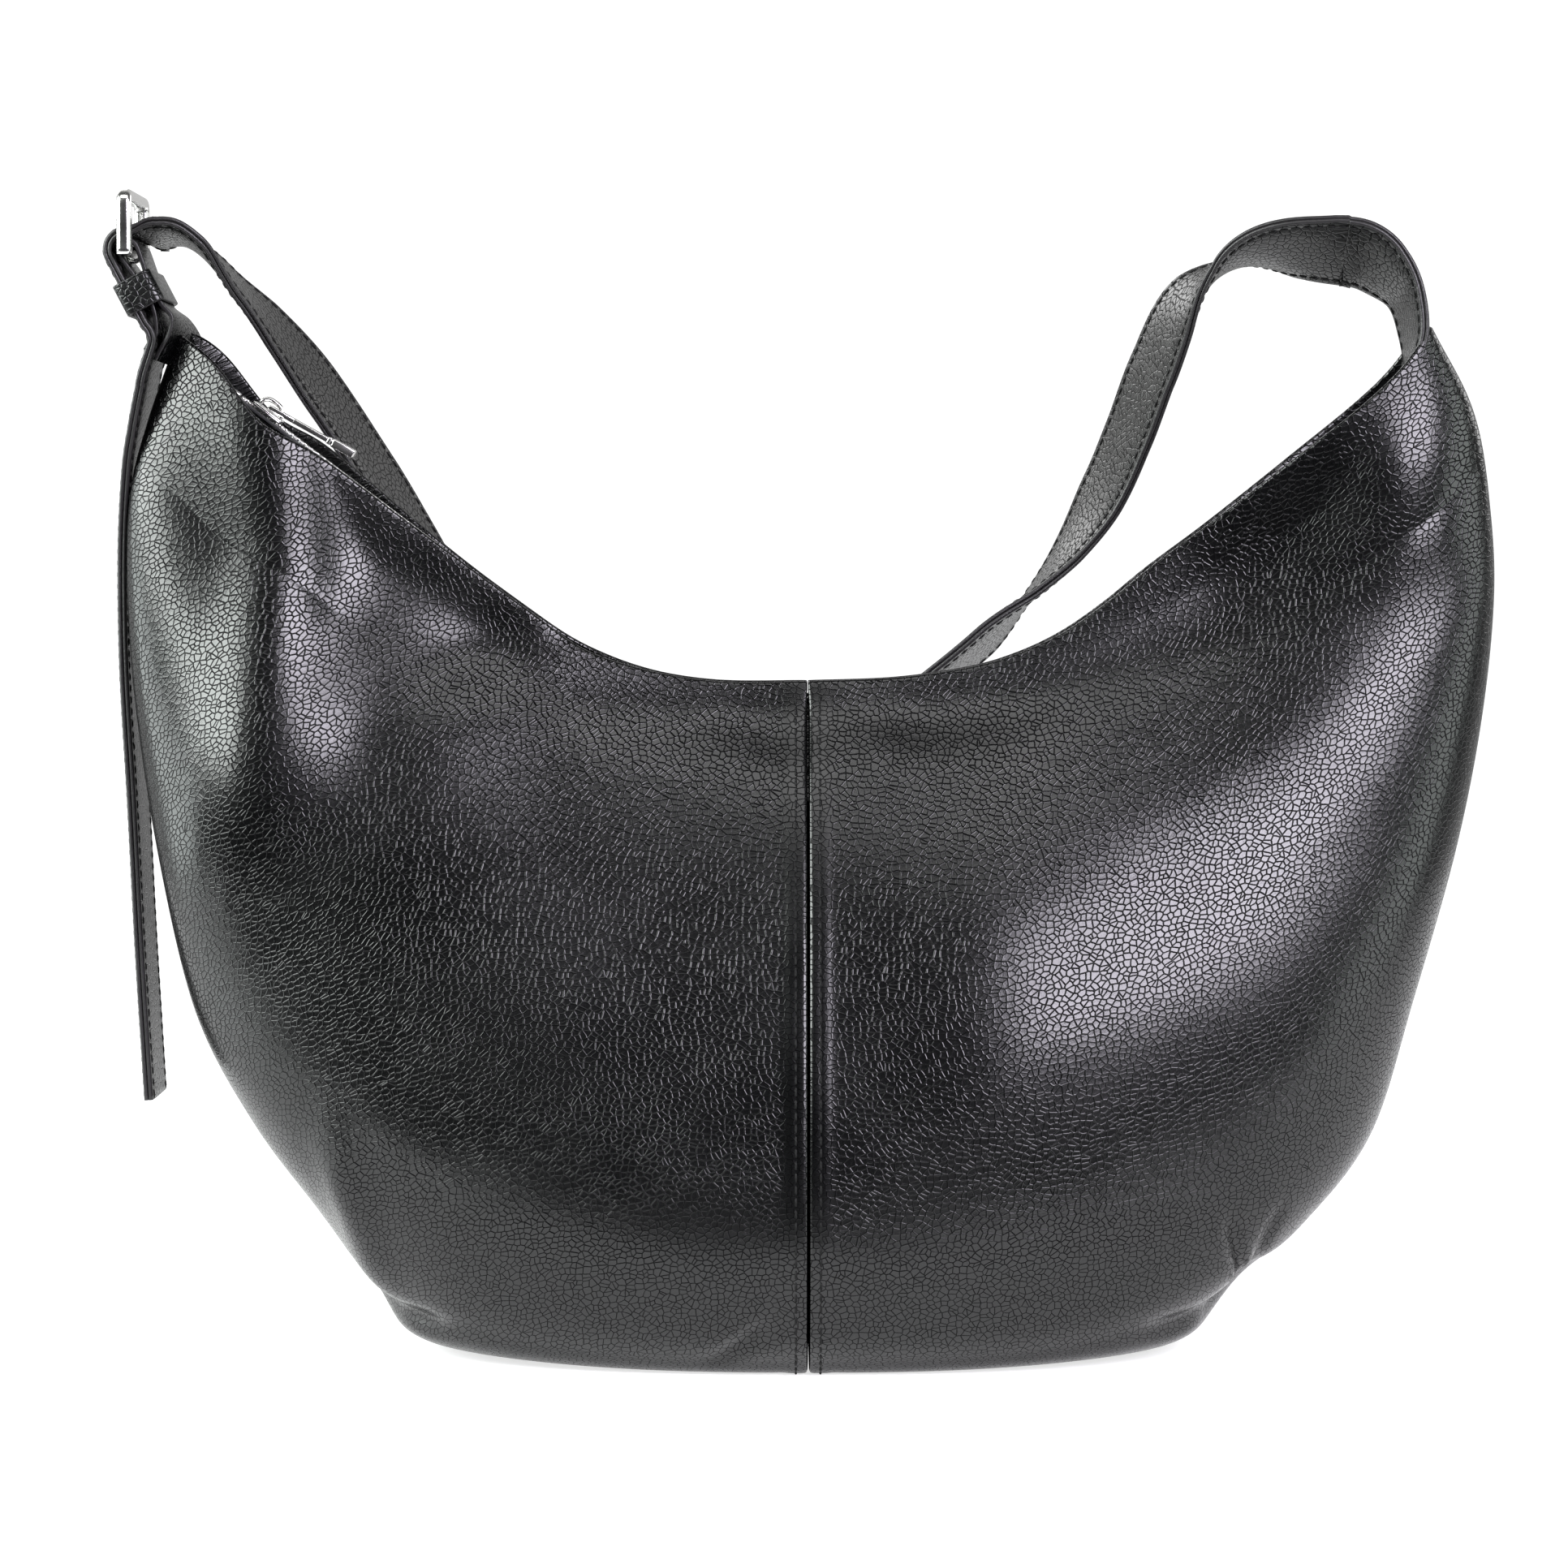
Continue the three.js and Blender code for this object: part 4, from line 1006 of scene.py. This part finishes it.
def add_keeper():
    """A leather loop round the tab and the strap."""
    corners = [(6.3, 14.3, 0), (-0.9, 14.3, 90), (-0.9, -14.3, 180), (6.3, -14.3, 270)]
    path = []
    for o, y, start in corners:
        for k in range(7):
            t = math.radians(start + 15 * k)
            path.append(beside(13, o + 1.9 * math.cos(t)) + ACROSS * (y + 1.9 * math.sin(t)))
    wides = np.tile(DOWN, (len(path), 1))
    looks = [STRAP_FACE, EDGE]
    keeper = sweep("keeper", path, wides, pill(5, 0.62, 0.4), looks, closed=True, edge=4.7, smooth=0.2)
    dress(keeper, "leather", "keeper", "strap_keeper")


add_buckle()
add_prong()
add_tab()
add_keeper()


# ---- strap ----
JUNCTION_X = -193.4  # where the buckled end becomes the span
ROOT_X = 162.2  # where the span becomes the root
# Stations of the strap's middle: a point and the direction of the strap's width there.
SPAN = [
    (JUNCTION_X, 0, HEEL[2] + CURL, 0, 0.97, -0.2), (-189, 0.5, 335.4, 0, 0.97, -0.2),
    (-184, 2, 333.2, 0, 0.98, -0.15), (-178, 6, 328, 0, 1, 0), (-171.5, 11, 320.5, 0.06, 1, 0.04),
    (-162, 17, 309.5, 0.17, 0.98, 0.12), (-147, 28, 289, 0.28, 0.94, 0.17), (-132, 37, 265, 0.28, 0.94, 0.17),
    (-119, 46, 243, 0.25, 0.95, 0.15), (-104, 52, 217, 0.2, 0.96, 0.1), (-82, 56, 188, 0.1, 0.98, 0),
    (-52, 58, 166, 0.1, 0.98, -0.1), (-22, 58, 161, 0.1, 0.98, -0.2), (8, 54, 173, 0.15, 0.97, -0.2),
    (34, 49, 194, 0.2, 0.96, -0.2), (56, 48, 212, 0.2, 0.96, -0.2), (72, 50, 227.6, 0, 1, 0),
    (83, 50, 241, -0.2, 0.97, 0.1), (94, 47, 260, -0.36, 0.92, 0.17), (101, 42, 277, -0.36, 0.92, 0.17),
    (108, 34, 297, -0.36, 0.92, 0.15), (117, 25, 317, -0.3, 0.92, 0.1), (130, 17, 327.5, -0.05, 0.99, -0.1),
    (146, 7, 331.2, 0.05, 0.88, -0.47), (ROOT_X, 1, 330.6, 0.1, 0.79, -0.6),
]
ROOT = [
    (ROOT_X, 1, 330.6, 0.1, 0.79, -0.6), (168, 0, 329, 0, 0.8, -0.6), (174.5, 0, 324.4, -0.1, 0.88, -0.46),
    (180.5, 0, 317, -0.12, 0.96, -0.2), (183, 0, 307, -0.1, 0.99, 0), (183, 0, 298, 0, 1, 0),
    (182, 0, 290, 0, 1, 0),
]
TAIL = [
    (*beside(TAIL_FROM, CURL), 0, 1, 0), (*(beside(TAIL_FROM + 5, CURL) + ACROSS * 0.5), 0, 1, 0),
    (-197, 3, 293, 0, 1, 0), (-200, 7, 281, 0, 1, 0), (-202.8, 11, 268, 0, 1, 0), (-204.6, 14, 252, 0, 1, 0),
    (-205.3, 15, 236, 0, 1, 0), (-205, 15, 205, 0, 1, 0), (-203, 15, 165, 0, 1, 0), (-201, 15, 120, 0, 1, 0),
    (-198.5, 15, 74.5, 0, 1, 0),
]
RIGHTWARD = np.array([1.0, 0, 0])
STITCH_DENT = 1.27  # the dent under the strap's stitches, from the strap's middle


def stations(table, steps):
    """The points and the width directions along a table's route."""
    return route([row[:3] for row in table], steps), route([row[3:] for row in table], steps)


def ply_profile(side):
    """Half of the strap's section: a crowned face with its edges rolled and a dent along the stitches."""
    right = [
        (15, 0.35), (14.97, 0.85), (14.75, 1.2), (14.3, 1.38), (13.4, 1.42), (12.75, 1.3), (12.4, 1.24),
        (12.05, 1.3), (11.3, 1.46), (7, 1.5), (0, 1.52),
    ]
    left = [(-w, t) for w, t in right[-2::-1]]
    under = [(-14.6, 0.03), (-8, 0.02), (8, 0.02), (14.6, 0.03)]
    return [(w, side * t) for w, t in right + left + under]


def strap_piece(name, points, wides, side, ends=(None, None), caps=(True, True)):
    """One layer of the strap with its two rows of stitches, as one list of objects."""
    face = STRAP_FACE if side < 0 else STRAP_BACK
    ply = sweep(name, points, wides, ply_profile(side), [face, EDGE], ends=ends, edge=14.5, caps=caps)
    _, wide, out = frames(points, wides, ends=ends)
    rows = []
    inset = STRAP_WIDTH / 2 - STITCH_INSET
    for k, across in enumerate((-1, 1)):
        line = points + wide * across * inset + out * side * STITCH_DENT
        rows.append(stitches(f"{name}_stitches_{k}", line, out * side))
    return [ply, *rows]


def strap_end_line():
    """The buckled end: from the span over the frame's heel bar and down to the tail."""
    turn = np.radians(np.linspace(90, 180 + math.degrees(math.acos(-OUT[0])), 40))
    curl = [HEEL + CURL * np.array([math.cos(t), 0, math.sin(t)]) for t in turn]
    lead = [np.array([x, 0, HEEL[2] + CURL]) for x in (JUNCTION_X, -194.5, -196, -198.5)]
    fall = [beside(d, CURL) for d in (3, 6, 9, 12, 15, 18, TAIL_FROM)]
    points = np.array([*lead, *curl, *fall])
    wides = np.tile(ACROSS, (len(points), 1))
    wides[:, 2] = -0.2 * smoothstep(points[:, 0], -201, JUNCTION_X) * (points[:, 2] > HEEL[2])
    return points, wides


def add_strap():
    """Span, tail, buckled end and root, each in two layers."""
    span, span_wides = stations(SPAN, 520)
    middle = int(np.argmin(span[:, 2]))
    # Each half with the places, in metres along x, where it leaves the bag and where it is all the strap's.
    parts = [
        ("left", slice(0, middle + 1), (-0.1934, -0.150)),
        ("right", slice(middle, None), (0.1622, 0.118)),
    ]
    for side, layer in ((-1, "outer"), (1, "inner")):
        slot = "leather" if side < 0 else "strap_back"
        for name, part, (x0, x1) in parts:
            ends = (RIGHTWARD, None) if name == "left" else (None, RIGHTWARD)
            line, wides = span[part], span_wides[part]
            pieces = strap_piece(f"span_{layer}_{name}", line, wides, side, ends, (False, False))
            for piece in pieces:
                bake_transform(piece)
            if name == "left":
                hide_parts(f"strap_span_{layer}")
        pieces = strap_piece(f"tail_{layer}", *stations(TAIL, 260), side, (DOWN, None), (False, True))
        for piece in pieces:
            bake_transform(piece)
        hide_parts(f"strap_tail_{layer}")
        buckled = strap_piece(f"end_{layer}", *strap_end_line(), -side, (-RIGHTWARD, DOWN), (False, False))
        root = strap_piece(f"root_{layer}", *stations(ROOT, 90), side, (RIGHTWARD, None), (False, True))
        for piece in buckled + root:
            dress(piece, slot, "bag")
        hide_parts(f"strap_end_{layer}")
        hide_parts(f"strap_root_{layer}")


add_strap()
